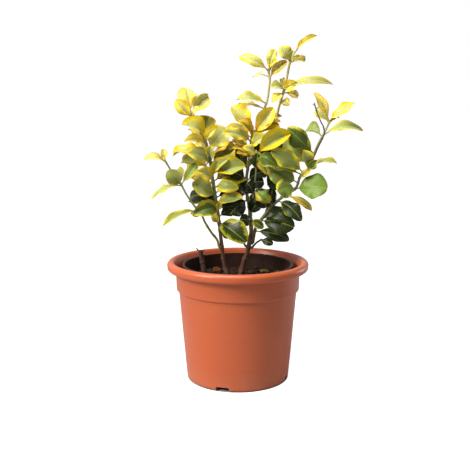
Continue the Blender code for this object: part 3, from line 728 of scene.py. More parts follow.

# A leaf is: the height where it leaves the stem, the way from there to its tip (right, back, up), its width,
# its arch as a share of its length, where its face looks, and its colours: age and painted shade from 0, an
# old dark green one, painted darker still as shade where it sits deep in the bush, to 1, a new pale one, then
# how far the yellow reaches in from the edge, then how much orange it has.
tipPlan = {
    "left_stem": ("left_shoot_tip", (
        (356, (-6, 6, 33), 19, 0.06, "front", (0.90, 0.75, 0.15)),
        (350, (-20, -6, 22), 15, 0.10, "front", (0.85, 0.60, 0.10)),
        (354, (22, 4, 25), 15, 0.08, "front", (0.84, 0.30, 0.05)),
        (345, (6, -16, 20), 9, 0.10, "up", (0.90, 0.80, 0.30)),
        (323, (-26, -14, 20), 18, 0.24, "front_up", (0.62, 0.50, 0.12)),
        (324, (6, 18, 26), 18, 0.06, "front", (0.50, 0.35, 0.50)),
        (320, (-22, 14, 17), 12, 0.10, "up", (0.90, 0.80, 0.50)),
        (309, (24, -6, 28), 22, 0.08, "front", (0.74, 0.20, 0.05)),
        (304, (-50, 6, 1), 16, 0.12, "front_up", (0.72, 0.55, 0.25)),
    )),
    "left_side_shoot": ("left_side_tip", (
        (293, (-27, -6, 5), 10, 0.30, "front_up", (0.97, 1.00, 0.10)),
        (294, (-3, 4, 16), 7, 0.05, "front", (0.80, 0.50, 0.30)),
        (264, (-15, -14, 18), 15, 0.08, "front", (0.46, 0.15, 0.20)),
        (265, (-6, 16, 19), 13, 0.08, "front", (0.42, 0.25, 0.50)),
        (263, (-38, -14, -16), 11, 0.28, "front_up", (0.52, 0.30, 0.10)),
        (264, (20, 8, 28), 10, 0.08, "front", (0.35, 0.30, 0.35)),
    )),
    "centre_stem": ("centre_tip", (
        (330, (-28, 2, 35), 18, 0.08, "front", (0.72, 0.50, 0.15)),
        (330, (24, -16, 32), 16, 0.06, "front", (0.86, 0.55, 0.20)),
        (331, (36, 2, 24), 10, 0.08, "front_up", (0.76, 0.50, 0.85)),
        (328, (-13, -14, 19), 10, 0.10, "up", (0.74, 0.60, 0.85)),
        (319, (-36, -22, 14), 13, 0.10, "front_up", (0.64, 0.45, 0.25)),
        (324, (-34, 12, 16), 10, 0.08, "front_up", (0.88, 0.80, 0.30)),
    )),
    "inner_shoot": ("inner_tip", (
        (304, (42, -12, 28), 19, 0.12, "front_up", (0.55, 0.55, 0.25)),
        (298, (26, -18, -8), 20, 0.34, "front_up", (0.20, 0.15, 0.10)),
        (294, (14, -24, -10), 13, 0.16, "up", (0.35, 0.45, 0.80)),
        (303, (-14, -16, 12), 12, 0.10, "front_up", (0.60, 0.45, 0.40)),
    )),
    "tall_left_shoot": ("tall_left_tip", (
        (369, (-37, -6, 8), 14, 0.10, "front_up", (0.58, 0.35, 0.10)),
        (362, (-34, 12, 8), 10, 0.08, "up", (0.93, 0.90, 0.15)),
        (411, (-38, -6, 18), 12, 0.20, "front", (0.74, 0.40, 0.15)),
        (410, (9, 6, 29), 10, 0.06, "front", (0.72, 0.50, 0.15)),
        (402, (20, -8, 21), 10, 0.08, "front", (0.72, 0.35, 0.75)),
        (408, (10, -13, 15), 7, 0.08, "up", (0.80, 0.60, 0.30)),
        (403, (-22, 10, 4), 8, 0.10, "up", (1.00, 1.00, 0.05)),
    )),
    "tall_right_shoot": ("tall_right_tip", (
        (430, (30, -4, 25), 9, 0.10, "front_up", (0.86, 0.60, 0.40)),
        (421, (-12, -8, 19), 13, 0.06, "front", (0.76, 0.40, 0.10)),
        (422, (3, -10, 13), 8, 0.06, "front", (0.55, 0.25, 0.20)),
        (421, (20, 6, 3), 9, 0.12, "up", (0.92, 0.80, 0.10)),
        (386, (62, -10, 10), 11, 0.26, "front_up", (0.55, 0.35, 0.30)),
        (387, (-17, -10, 5), 11, 0.10, "front_up", (0.54, 0.20, 0.20)),
        (382, (-14, -12, -10), 10, 0.12, "front", (0.88, 0.80, 0.60)),
        (387, (16, -14, 8), 13, 0.10, "front", (0.88, 0.65, 0.30)),
        (383, (21, 4, -4), 9, 0.10, "front", (0.93, 0.90, 0.30)),
        (388, (-3, 8, 14), 6, 0.05, "front", (0.60, 0.40, 0.90)),
    )),
    "right_stem": ("right_shoot_tip", (
        (344, (-16, 8, 18), 12, 0.08, "front_up", (0.60, 0.25, 0.10)),
        (345, (-20, -6, 37), 11, 0.05, "front", (0.88, 0.75, 0.55)),
        (343, (32, -6, 27), 15, 0.16, "front_up", (0.72, 0.45, 0.20)),
        (344, (9, -13, 9), 7, 0.10, "up", (0.90, 0.90, 0.30)),
        (327, (50, -8, 12), 14, 0.30, "front_up", (0.50, 0.25, 0.05)),
        (327, (-22, 14, 8), 14, 0.12, "up", (0.40, 0.10, 0.05)),
        (304, (-34, -13, 34), 19, 0.08, "front", (0.20, 0.25, 0.10)),
    )),
    "rear_shoot": ("rear_tip", (
        (298, (-20, 18, 14), 16, 0.14, "up", (0.80, 0.60, 0.20)),
        (297, (20, 18, 12), 17, 0.14, "up", (0.70, 0.50, 0.30)),
        (299, (2, 8, 26), 14, 0.08, "back", (0.88, 0.70, 0.15)),
        (289, (-6, 34, -4), 19, 0.20, "up", (0.55, 0.40, 0.20)),
        (288, (-30, 2, 2), 16, 0.20, "up", (0.50, 0.40, 0.20)),
    )),
    "rear_left_shoot": ("rear_left_tip", (
        (296, (-24, 16, 12), 16, 0.16, "up", (0.75, 0.55, 0.25)),
        (296, (12, 24, 10), 16, 0.14, "up", (0.72, 0.50, 0.15)),
        (297, (-6, 8, 26), 13, 0.08, "back", (0.90, 0.70, 0.20)),
        (285, (-26, 20, -8), 18, 0.22, "up", (0.48, 0.35, 0.15)),
        (285, (10, 30, -6), 17, 0.22, "up", (0.50, 0.40, 0.15)),
    )),
    "rear_right_shoot": ("rear_right_tip", (
        (300, (22, 18, 12), 16, 0.16, "up", (0.72, 0.50, 0.15)),
        (300, (-14, 24, 10), 16, 0.14, "up", (0.76, 0.55, 0.25)),
        (301, (4, 8, 26), 13, 0.08, "back", (0.90, 0.70, 0.10)),
        (289, (30, 14, -6), 18, 0.22, "up", (0.45, 0.30, 0.10)),
        (289, (-8, 30, -8), 17, 0.22, "up", (0.42, 0.30, 0.15)),
    )),
}

# Leaves that stand alone on older wood: the stem, then as above
leafPlan = {
    "leaf_01": ("left_stem", 290, (-28, -16, 16), 20, 0.12, "front_up", (0.52, 0.30, 0.15)),
    "leaf_02": ("left_stem", 284, (-40, 12, 8), 16, 0.14, "front_up", (0.56, 0.20, 0.10)),
    "leaf_03": ("left_stem", 267, (-18, -24, 16), 13, 0.12, "front_up", (0.74, 0.55, 0.15)),
    "leaf_04": ("left_stem", 263, (-29, 2, 11), 13, 0.20, "front_up", (0.82, 0.70, 0.70)),
    "leaf_05": ("left_stem", 246, (-27, -14, 20), 17, 0.10, "front", (0.46, 0.25, 0.15)),
    "leaf_06": ("left_stem", 236, (-37, 13, 8), 18, 0.32, "front_up", (0.07, 0.00, 0.05)),
    "leaf_07": ("left_stem", 222, (-30, -26, 4), 16, 0.26, "front_up", (0.20, 0.32, 0.20)),
    "leaf_08": ("left_stem", 294, (40, -2, 27), 15, 0.18, "up", (0.60, 0.45, 0.90)),
    "leaf_09": ("left_stem", 289, (32, 12, 25), 14, 0.10, "front_up", (0.60, 0.40, 0.30)),
    "leaf_10": ("left_stem", 279, (44, -18, 10), 19, 0.08, "front", (0.48, 0.32, 0.20)),
    "leaf_11": ("left_stem", 266, (32, 8, 16), 16, 0.10, "front_up", (0.45, 0.42, 0.60)),
    "leaf_12": ("left_stem", 259, (31, -20, 2), 15, 0.12, "front_up", (0.40, 0.35, 0.20)),
    "leaf_13": ("left_stem", 239, (37, -18, 6), 14, 0.10, "front_up", (0.40, 0.35, 0.55)),
    "leaf_14": ("left_stem", 230, (20, 16, -3), 14, 0.16, "up", (0.07, -0.10, 0.05)),
    "leaf_15": ("left_stem", 211, (36, -28, -21), 22, 0.16, "front_up", (0.11, 0.30, 0.05)),
    "leaf_16": ("left_side_shoot", 228, (-46, -20, -16), 11, 0.22, "front_up", (0.50, 0.28, 0.05)),
    "leaf_17": ("inner_shoot", 256, (20, -15, -12), 16, 0.14, "front_up", (0.30, 0.40, 0.65)),
    "leaf_18": ("centre_stem", 242, (-24, -12, -18), 20, 0.14, "front_up", (0.03, -0.15, 0.00)),
    "leaf_19": ("centre_stem", 306, (-22, -18, 6), 12, 0.10, "front_up", (0.66, 0.50, 0.50)),
    "leaf_20": ("right_stem", 292, (-37, 14, 19), 17, 0.22, "front_up", (0.48, 0.12, 0.05)),
    "leaf_21": ("right_stem", 279, (-42, -18, 31), 19, 0.12, "front", (0.42, 0.35, 0.10)),
    "leaf_22": ("right_stem", 266, (-38, 5, 18), 21, 0.08, "front", (0.40, 0.06, 0.02)),
    "leaf_23": ("right_stem", 258, (-24, -29, 1), 18, 0.12, "front_up", (0.34, 0.22, 0.05)),
    "leaf_24": ("right_stem", 289, (33, -6, 5), 10, 0.12, "up", (0.55, 0.35, 0.15)),
    "leaf_25": ("right_stem", 258, (40, -18, 3), 26, 0.10, "front_up", (0.29, 0.02, 0.00)),
    "leaf_26": ("right_stem", 250, (37, 2, -20), 11, 0.12, "front_up", (0.74, 0.65, 0.55)),
    "leaf_27": ("right_stem", 242, (29, -24, -20), 16, 0.14, "front_up", (0.10, -0.05, 0.00)),
    "leaf_28": ("right_stem", 214, (44, -22, -5), 21, 0.14, "front_up", (0.07, -0.10, 0.00)),
    "leaf_29": ("right_stem", 200, (46, -8, -9), 14, 0.14, "front_up", (0.04, -0.15, 0.00)),
}

# Leaves that go with the stem they stand on: small ones, and ones inside the bush whose very dark green is
# painted shade
innerLeafPlan = {
    "left_stem": (
        (208, (-9, -4, 14), 8, 0.08, "front", (0.80, 0.60, 0.10)),
        (316, (-26, -12, 6), 11, 0.14, "front_up", (0.80, 0.65, 0.30)),
        (318, (14, -14, 20), 11, 0.10, "front_up", (0.84, 0.70, 0.20)),
        (276, (22, -16, 22), 11, 0.12, "front_up", (0.50, 0.35, 0.15)),
        (250, (30, -14, 14), 10, 0.14, "front_up", (0.46, 0.35, 0.25)),
        (225, (5, -8, 16), 7, 0.06, "front", (0.55, 0.40, 0.10)),
        (200, (17, -8, -5), 12, 0.12, "front_up", (0.08, -0.15, 0.00)),
        (258, (43, -4, 14), 12, 0.14, "front_up", (0.36, 0.30, 0.10)),
        (272, (7, -14, 26), 10, 0.08, "front", (0.56, 0.40, 0.10)),
        (299, (2, -15, 15), 12, 0.10, "front_up", (0.52, 0.30, 0.10)),
        (234, (-22, 22, 14), 15, 0.14, "front_up", (0.10, -0.15, 0.00)),
        (252, (-24, 24, 4), 15, 0.14, "front_up", (0.16, 0.20, 0.00)),
        (244, (28, 24, 10), 16, 0.12, "front_up", (0.06, -0.15, 0.00)),
        (276, (24, 26, 10), 15, 0.12, "front_up", (0.12, -0.15, 0.00)),
        (218, (24, 6, 14), 14, 0.12, "front_up", (0.05, -0.15, 0.00)),
    ),
    "left_side_shoot": (
        (222, (-14, -7, 4), 8, 0.14, "front_up", (0.45, 0.35, 0.10)),
        (230, (7, -6, 12), 6, 0.06, "front", (0.60, 0.50, 0.10)),
    ),
    "centre_stem": (
        (325, (-18, -16, 21), 13, 0.12, "front_up", (0.80, 0.62, 0.60)),
        (331, (32, -12, 17), 10, 0.10, "front_up", (0.76, 0.55, 0.60)),
        (322, (38, -16, 12), 12, 0.14, "up", (0.74, 0.60, 0.25)),
        (318, (-26, -10, 22), 14, 0.10, "front", (0.66, 0.30, 0.15)),
        (312, (20, -22, 16), 13, 0.10, "front_up", (0.60, 0.30, 0.15)),
        (300, (-16, -20, 6), 11, 0.14, "front_up", (0.78, 0.65, 0.75)),
        (309, (-22, -12, 14), 9, 0.10, "front_up", (0.74, 0.60, 0.90)),
        (214, (16, -12, -8), 9, 0.12, "front_up", (0.16, 0.20, 0.00)),
        (244, (-18, -8, 26), 16, 0.10, "front_up", (0.03, -0.15, 0.00)),
        (208, (-12, -14, 10), 13, 0.10, "front_up", (0.03, -0.15, 0.00)),
        (222, (14, -10, 22), 14, 0.10, "front_up", (0.03, -0.15, 0.00)),
        (270, (-30, -4, 12), 17, 0.12, "front_up", (0.10, -0.15, 0.10)),
        (266, (30, 8, 14), 16, 0.10, "front_up", (0.05, -0.15, 0.00)),
        (282, (-14, -12, 26), 14, 0.10, "front", (0.16, 0.20, 0.10)),
        (290, (26, 6, 22), 16, 0.10, "front_up", (0.10, -0.15, 0.05)),
        (256, (-30, 14, -2), 16, 0.12, "front_up", (0.05, -0.15, 0.00)),
    ),
    "inner_shoot": (
        (262, (16, -6, -28), 18, 0.12, "front_up", (0.03, -0.15, 0.00)),
        (284, (22, -14, 6), 14, 0.14, "front_up", (0.12, -0.15, 0.10)),
        (283, (2, -12, 24), 14, 0.10, "front", (0.14, 0.20, 0.10)),
        (250, (-8, -12, 16), 13, 0.10, "front_up", (0.04, -0.15, 0.00)),
    ),
    "right_stem": (
        (277, (-44, 14, 12), 14, 0.12, "front_up", (0.32, 0.25, 0.10)),
        (287, (-8, -16, 20), 13, 0.08, "front", (0.48, 0.25, 0.05)),
        (283, (10, -10, 12), 8, 0.10, "front", (0.30, 0.25, 0.05)),
        (272, (12, -8, 12), 8, 0.08, "front", (0.66, 0.60, 0.10)),
        (222, (26, 8, -6), 10, 0.12, "up", (0.25, 0.20, 0.00)),
        (217, (34, -8, 6), 17, 0.14, "front_up", (0.07, -0.15, 0.00)),
        (236, (-10, 14, 22), 14, 0.12, "front_up", (0.08, -0.15, 0.00)),
        (252, (-22, 20, 16), 15, 0.12, "front_up", (0.10, -0.15, 0.00)),
    ),
    "low_right_twig": (
        (188, (16, -8, -3), 8, 0.10, "front_up", (0.05, -0.15, 0.00)),
    ),
    "tall_right_shoot": (
        (372, (9, -14, -4), 9, 0.14, "up", (0.60, 0.50, 0.80)),
        (250, (-2, -10, 30), 12, 0.08, "front", (0.05, -0.15, 0.00)),
        (262, (-4, -12, -24), 13, 0.10, "front", (0.04, -0.15, 0.00)),
        (318, (-12, -10, -14), 11, 0.12, "front_up", (0.08, -0.15, 0.30)),
        (328, (-9, -9, 17), 11, 0.10, "front", (0.12, -0.15, 0.30)),
        (294, (-24, 6, 12), 14, 0.12, "front_up", (0.07, -0.15, 0.00)),
        (300, (18, 14, 14), 15, 0.12, "front_up", (0.14, 0.15, 0.00)),
    ),
    "rear_shoot": (
        (244, (-22, -4, 10), 16, 0.12, "front_up", (0.04, -0.15, 0.00)),
        (256, (24, -6, 8), 17, 0.12, "front_up", (0.04, -0.15, 0.00)),
        (272, (-16, -14, 14), 16, 0.12, "front_up", (0.07, -0.15, 0.00)),
        (232, (18, 16, 6), 15, 0.14, "up", (0.08, -0.15, 0.00)),
    ),
}

leafFaces = {
    "up": (0, -0.7, 1),
    "front_up": (0, -1, 0.7),
    "front": (0, -1, 0.3),
    "back": (0, 1, 0.45),
}

# How single leaves differ from the rest: each entry goes over the leaf's own chance form
leafForms = {
    "leaf_16": {"slim": 0.78},
    "left_side_tip_1": {"slim": 0.85},
    "left_side_tip_5": {"slim": 0.78},
    "tall_left_tip_1": {"slim": 0.8, "curl": 0.9},
    "tall_right_tip_1": {"slim": 0.8, "curl": 0.2},
    "right_shoot_tip_3": {"slim": 0.8},
    "leaf_25": {"fold": 16, "recurve": 0.2, "wave": 0.05, "notch": 2.2, "blunt": 0.9, "curl": 0.2,
                "twist": -6, "roll": 6},
    "leaf_28": {"fold": 10, "recurve": 0.22, "notch": 1.8, "blunt": 0.8, "curl": 0.10},
    "leaf_15": {"fold": 20, "recurve": -0.20, "wave": 0.04, "blunt": 0.8, "curl": 0.30, "twist": 10,
                "roll": -4},
    "leaf_22": {"fold": 12, "recurve": 0.30, "blunt": 0.9, "curl": 0.5},
    "leaf_23": {"fold": 12, "recurve": 0.30, "blunt": 0.9, "curl": 0.20},
    "leaf_08": {"fold": 34, "recurve": 0.35, "wave": 0.10, "curl": 0.25},
    "leaf_13": {"fold": 28, "recurve": -0.25, "curl": -0.15},
    "leaf_10": {"fold": 34, "recurve": -0.35, "curl": 0.2},
    "inner_tip_1": {"fold": 44, "recurve": -0.3, "curl": 0.3},
    "left_shoot_tip_1": {"fold": 20, "blunt": 1.0, "broad": 1.9, "notch": 0.6, "curl": 0.5, "twist": 4},
    "left_shoot_tip_5": {"fold": 38, "recurve": -0.3, "curl": 0.6},
    "left_shoot_tip_6": {"fold": 36, "recurve": -0.5, "curl": -0.6},
    "left_shoot_tip_8": {"fold": 16, "curl": 0.3},
    "right_shoot_tip_5": {"fold": 30, "recurve": 0.2, "curl": 0.9, "slim": 0.8},
}


class Stem:
    # a stem's middle line and radius, from which its rings and its leaves take their places
    def __init__(self, name, parent, leavesAt, lowRadius, topRadius, points):
        self.name = name
        self.lowRadius = lowRadius
        self.topRadius = topRadius
        self.rooted = parent is None
        self.nodes = []
        lift = pottingMix["top"] - plantGround
        points = [Vector((x, y, z + lift)) for x, y, z in points]
        if parent:
            place, along, radius = parent.at(leavesAt)
            parent.nodes.append(parent.lengthAt(leavesAt))
            out = points[0] - place
            out = (out - out.dot(along) * along).normalized()
            start = place + out * (radius + lowRadius + plantGap)
            self.path = [place, *smoothPath([start, *points])]
        else:
            self.path = [points[0] - Vector((0, 0, 12)), *smoothPath(points)]
        self.lengths = [0.0]
        for first, second in zip(self.path, self.path[1:]):
            self.lengths.append(self.lengths[-1] + (second - first).length)
        self.total = self.lengths[-1]
        self.ringCount = math.ceil(self.total / stemForm["ringSpacing"])
        self.makeFrames()

    def onPath(self, length):
        length = min(max(length, 0.0), self.total)
        index = next(i for i in range(1, len(self.path)) if self.lengths[i] >= length - 1e-9)
        first, second = self.path[index - 1], self.path[index]
        share = (length - self.lengths[index - 1]) / (self.lengths[index] - self.lengths[index - 1])
        return first.lerp(second, share), (second - first).normalized()

    def lengthAt(self, height):
        height += pottingMix["top"] - plantGround
        for index in range(2 if not self.rooted else 1, len(self.path)):
            low, high = self.path[index - 1].z, self.path[index].z
            if low <= height <= high and high > low:
                share = (height - low) / (high - low)
                return self.lengths[index - 1] + share * (self.lengths[index] - self.lengths[index - 1])
        return self.total

    def radius(self, length):
        return self.lowRadius + (self.topRadius - self.lowRadius) * length / self.total

    def at(self, height):
        length = self.lengthAt(height)
        place, along = self.onPath(length)
        return place, along, self.radius(length)

    def makeFrames(self):
        # frames carried along the stem without twisting
        self.frames = []
        sideways = Vector((1, 0, 0))
        for index in range(self.ringCount + 1):
            place, along = self.onPath(self.total * index / self.ringCount)
            sideways = (sideways - sideways.dot(along) * along).normalized()
            self.frames.append((place, sideways.copy(), along.cross(sideways)))


def smoothPath(points, pieces=12):
    points = [Vector(point) for point in points]
    padded = [2 * points[0] - points[1], *points, 2 * points[-1] - points[-2]]
    path = []
    for before, start, end, after in zip(padded, padded[1:], padded[2:], padded[3:]):
        for step in range(pieces):
            t = step / pieces
            path.append(0.5 * (2 * start + (end - before) * t
                               + (2 * before - 5 * start + 4 * end - after) * t ** 2
                               + (3 * start - before - 3 * end + after) * t ** 3))
    return path + [points[-1]]


stemForm = {
    "ringSpacing": 1.3,
    "sides": 16,
    "nodeSwelling": 0.2,
    "nodeLength": 1.7,
    "collar": 0.45,           # how much a branch widens where it leaves its parent
    "collarLength": 3.0,
    "footFlare": 0.30,
    "footLength": 9.0,
    "scarSpacing": 17.0,      # old leaf scars below the leaves
    "barkDepth": 0.16,        # share of the radius
    "woodTop": 236.0,         # brown up to here, in height above the table
    "woodFade": 62.0,
    "sideWoodTop": 190.0,
    "youngFrom": 290.0,
    "youngOver": 90.0,
    "paleShoots": ("left_side_shoot", "tall_left_shoot", "tall_right_shoot"),
    "paleYouth": 0.55,        # these stay at least this pale all the way down
}
deadStems = ("dead_twig", "pruned_stub")
woodyStems = ("left_stem", "centre_stem", "right_stem", "low_right_twig", "short_left_twig")
upperSlot, underSlot, stalkSlot, barkSlot = range(4)        # the skins' order in every piece of the plant


def woodShare(stem, height):
    if stem.name in deadStems:
        return 1.0
    top = stemForm["woodTop"] if stem.name in woodyStems else stemForm["sideWoodTop"]
    return min(max((top - height) / stemForm["woodFade"], 0.0), 1.0)


def addStemRings(shape, stem, first, last):
    # the stem's rings from one number to another, closed at both ends
    form = stemForm
    shift = random.Random(stem.name).uniform(0, 90)
    rings = []
    for index in range(first, last + 1):
        length = stem.total * index / stem.ringCount
        place, sideways, other = stem.frames[index]
        base = stem.radius(length)
        swelling = sum(math.exp(-((length - node) / form["nodeLength"]) ** 2) for node in stem.nodes)
        base *= 1 + form["nodeSwelling"] * min(swelling, 1.3)
        if stem.rooted:
            rise = max(place.z - pottingMix["top"], 0)
            base *= 1 + form["footFlare"] * math.exp(-rise / form["footLength"])
        else:
            base *= 1 + form["collar"] * math.exp(-length / form["collarLength"])
        wood = woodShare(stem, place.z)
        young = min(max((place.z - form["youngFrom"]) / form["youngOver"], 0.0), 1.0)
        if stem.name in form["paleShoots"]:
            young = max(young, form["paleYouth"])
        tone = (wood, young, 1.0 if stem.name in deadStems else 0.0)
        endTaper = min(1.0, 0.35 + (stem.total - length) / 2.2)
        ring = []
        for x, y in levelRing(1, form["sides"]):
            bark = noise.noise(Vector((x * 1.6, y * 1.6, length / 9 + shift)))
            bark += 0.6 * noise.noise(Vector((x * 3.5, y * 3.5, length / 3 + shift)))
            squareness = 0.05 * math.cos(4 * math.atan2(y, x)) * (1 - wood)    # young shoots are four-ribbed
            rough = 1 + form["barkDepth"] * bark * (0.25 + 0.75 * wood) + squareness
            point = place + (sideways * x + other * y) * (base * rough * endTaper)
            ring.append(shape.addPoint(point, (x * base, y * base, length), tone, shift))
        rings.append(ring)
    shape.joinRings(rings, barkSlot)


leafForm = {
    "fullness": 1.42,          # over the widths in the plan, with the teeth and the curl of the edge
    "petioleShare": 0.12,      # of the leaf's length
    "petioleRadius": 0.85,
    "thickness": 0.55,
    "edgeThickness": 0.26,
    "toothSpacing": 3.2,
    "toothDepth": 0.35,
    "columns": (0.16, 0.38, 0.6, 0.8, 0.93, 1.0),   # across each half, from the midrib to the edge
    "ribWidth": 0.6,           # of the groove over the midrib
    "ribDepth": 0.22,
    "oldFold": 24,             # degrees that the halves rise from the midrib
    "youngFold": 42,
    "curlFrom": 0.55,          # the tip curls down from this share of the length
    "notchFrom": 0.86,         # and the notch of a blunt tip cuts in from this share of the blade
    "midribTo": 0.78,          # the midrib fades out at this share of the length
    "stalkRings": 15,
    "veinAngle": 0.8,          # how far a side vein runs forward for each millimetre outward
}


def chanceForm(name, ageAndShade):
    # the form that a leaf grew into, different for each one and the same on each run
    rng = random.Random(name)
    fold = leafForm["oldFold"] + (leafForm["youngFold"] - leafForm["oldFold"]) * ageAndShade
    form = {
        "fold": fold * rng.uniform(0.6, 1.35),
        "recurve": rng.uniform(-0.25, 0.5),
        "wave": rng.uniform(0.04, 0.14),
        "waveCount": rng.uniform(1.2, 2.4),
        "phase": rng.uniform(0, 2 * math.pi),
        "curl": rng.uniform(0.1, 1.2),
        "twist": rng.uniform(-28, 28),
        "roll": rng.uniform(-20, 20),
        "sway": rng.uniform(-0.05, 0.05),
        "broad": rng.uniform(1.12, 1.42),
        "blunt": rng.uniform(0.55, 0.95) - 0.3 * ageAndShade,
        "notch": 0.0,
        "slim": 1.0,
        "uneven": rng.uniform(-0.06, 0.06),
        "seed": rng.uniform(0, 100),
    }
    form.update(leafForms.get(name, {}))
    return form


def bladeShare(along, broad, blunt):
    # the blade's half width as a share of its widest, from its base to its tip
    oval = max(math.sin(math.pi * min(max(along, 0.0), 1.0) ** broad), 0.0)
    return oval ** (0.84 - 0.34 * blunt)


def addLeaf(shape, name, base, reach, width, arch, face, tone):
    settings = leafForm
    form = chanceForm(name, tone[0])
    reach = Vector(reach)
    width = width * settings["fullness"] * form["slim"]
    length = reach.length
    along = reach / length
    looks = Vector(leafFaces[face])
    normal = (looks - looks.dot(along) * along).normalized()
    across = normal.cross(along)

    def middle(share):
        bend = 4 * arch * share * (1 - share) - form["curl"] * max(share - settings["curlFrom"], 0) ** 2
        sway = form["sway"] * math.sin(math.pi * share)
        return base + (along * share + normal * bend + across * sway) * length

    def frameAt(share):
        ahead = (middle(share + 0.01) - middle(share - 0.01)).normalized()
        sideways = (across - across.dot(ahead) * ahead).normalized()
        turned = Matrix.Rotation(math.radians(form["roll"] + form["twist"] * (share - 0.25)), 3, ahead)
        sideways = turned @ sideways
        return ahead, sideways, ahead.cross(sideways)

    petiole = settings["petioleShare"]
    bladeLength = length * (1 - petiole)
    rows = 3 * max(5, round(bladeLength / settings["toothSpacing"]))
    rib = min(settings["ribWidth"] / (width / 2), 0.12)
    columns = [-c for c in reversed(settings["columns"])] + [-rib, 0.0, rib] + list(settings["columns"])
    upper, under = [], []
    for row in range(rows + 1):
        x = 1 - (1 - row / rows) ** 1.2
        share = petiole + (1 - petiole) * x
        ahead, sideways, up = frameAt(share)
        centre = middle(share)
        outline = bladeShare(x, form["broad"], form["blunt"])
        half = max(width / 2 * outline, 0.5 if row else 0.8)
        tooth = settings["toothDepth"] * (row % 3) / 2 if 0.18 < x < 0.97 else 0.0
        foldAngle = math.radians(form["fold"]) * (1.15 - 0.4 * math.sin(math.pi * x))
        upperRow, underRow = [], []
        for column in columns:
            reachOut = abs(column)
            side = 1 if column > 0 else -1
            sideHalf = half * (1 + form["uneven"] * side) + (tooth if reachOut == 1.0 else 0.0)
            wave = form["wave"] * width * outline * reachOut ** 3
            wave *= math.sin(2 * math.pi * form["waveCount"] * x + form["phase"] + side)
            lift = sideHalf * (reachOut * math.sin(foldAngle) - form["recurve"] * reachOut ** 2.6) + wave
            inTip = max((x - settings["notchFrom"]) / (1 - settings["notchFrom"]), 0)
            back = form["notch"] * (1 - reachOut) * inTip ** 2
            point = centre + sideways * (sideHalf * column * math.cos(foldAngle)) + up * lift - ahead * back
            thin = settings["thickness"] - settings["edgeThickness"]
            thick = (settings["thickness"] - thin * reachOut ** 3) * (0.6 + 0.4 * min(outline * 2, 1.0))
            groove = settings["ribDepth"] * outline * (1 - x) if column == 0 else 0.0
            where = (x * bladeLength, sideHalf * column, (1 - reachOut) * outline)
            upperRow.append(shape.addPoint(point + up * (thick / 2 - groove), where, tone, form["seed"]))
            underRow.append(shape.addPoint(point - up * (thick / 2), where, tone, form["seed"]))
        upper.append(upperRow)
        under.append(underRow)
    for row in range(rows):
        a, b, c, d = upper[row], upper[row + 1], under[row], under[row + 1]
        for index in range(len(columns) - 1):
            shape.addFace((a[index], a[index + 1], b[index + 1], b[index]), upperSlot)
            shape.addFace((c[index], d[index], d[index + 1], c[index + 1]), underSlot)
        for index in (0, -1):
            shape.addFace((a[index], b[index], d[index], c[index]), upperSlot)
    for row in (0, -1):
        a, c = upper[row], under[row]
        for index in range(len(columns) - 1):
            shape.addFace((a[index], a[index + 1], c[index + 1], c[index]), upperSlot)

    # the stalk, which runs on below the blade as its midrib
    rings = []
    for step in range(settings["stalkRings"]):
        share = settings["midribTo"] * step / (settings["stalkRings"] - 1)
        ahead, sideways, up = frameAt(max(share, 0.01))
        inBlade = max((share - petiole) / (settings["midribTo"] - petiole), 0.0)
        radius = settings["petioleRadius"] * (1 - 0.75 * inBlade) * (1.25 if step == 0 else 1.0)
        radius *= min(1.0, 0.6 + width / 40)
        centre = middle(share) - up * (settings["thickness"] * 0.45 * min(1.0, inBlade * 6))
        rings.append([shape.addPoint(point, (share * length, 0, 0.5), tone, form["seed"])
                      for point in ringAround(centre, sideways, up, radius, 8)])
    shape.joinRings(rings, stalkSlot)


def addBud(shape, base, ahead, length, tone):
    # a pointed bud with four overlapping scales
    sideways = ahead.orthogonal().normalized()
    other = ahead.cross(sideways)
    rings = []
    for share, radius in ((0, 0.20), (0.15, 0.30), (0.35, 0.34), (0.6, 0.25), (0.82, 0.13), (1, 0.03)):
        rings.append([])
        for index, (x, y) in enumerate(levelRing(1, 8)):
            wide = radius * length * (1.12 if index % 2 else 0.92)
            point = base + ahead * length * share + (sideways * x + other * y) * wide
            rings[-1].append(shape.addPoint(point, (length * share, 0, 0.5), tone, 3.0))
    shape.joinRings(rings, stalkSlot)


leafColours = {
    # At the low end of each centre ramp an old leaf's dark green is darkened further as painted shade for
    # leaves deep in the bush
    "upper": {
        "centre": [(0.0, "#0B1304"), (0.15, "#2B3A0E"), (0.3, "#6C8732"), (0.5, "#9CA45C"), (0.75, "#C4C272"),
                   (1.0, "#DED07C")],
        "fleck": "#969648",
        "margin": [(0.0, "#5A661A"), (0.15, "#ABA424"), (0.35, "#CBBB24"), (0.6, "#E0C926"),
                   (0.85, "#EAD340"), (1.0, "#EEDF8E")],
        "blush": [(0.3, "#713A11"), (0.7, "#C8740C")],
        "rib": "#A2A54E",
        "gloss": (0.28, 0.42),
        "specular": 0.2,
        "bump": 0.06,
    },
    "under": {
        "centre": [(0.0, "#1A230E"), (0.15, "#3E4A20"), (0.3, "#7E8A44"), (0.5, "#9A9A56"), (0.75, "#C0B66C"),
                   (1.0, "#DCCE8A")],
        "fleck": "#949454",
        "margin": [(0.0, "#6E742E"), (0.15, "#A8A23A"), (0.35, "#BDB034"), (0.6, "#CDB92E"),
                   (0.85, "#D6C03E"), (1.0, "#D2C690")],
        "blush": [(0.3, "#6E4420"), (0.7, "#B97A28")],
        "rib": "#ABA95E",
        "gloss": (0.48, 0.64),
        "specular": 0.15,
        "bump": 0.08,
    },
}


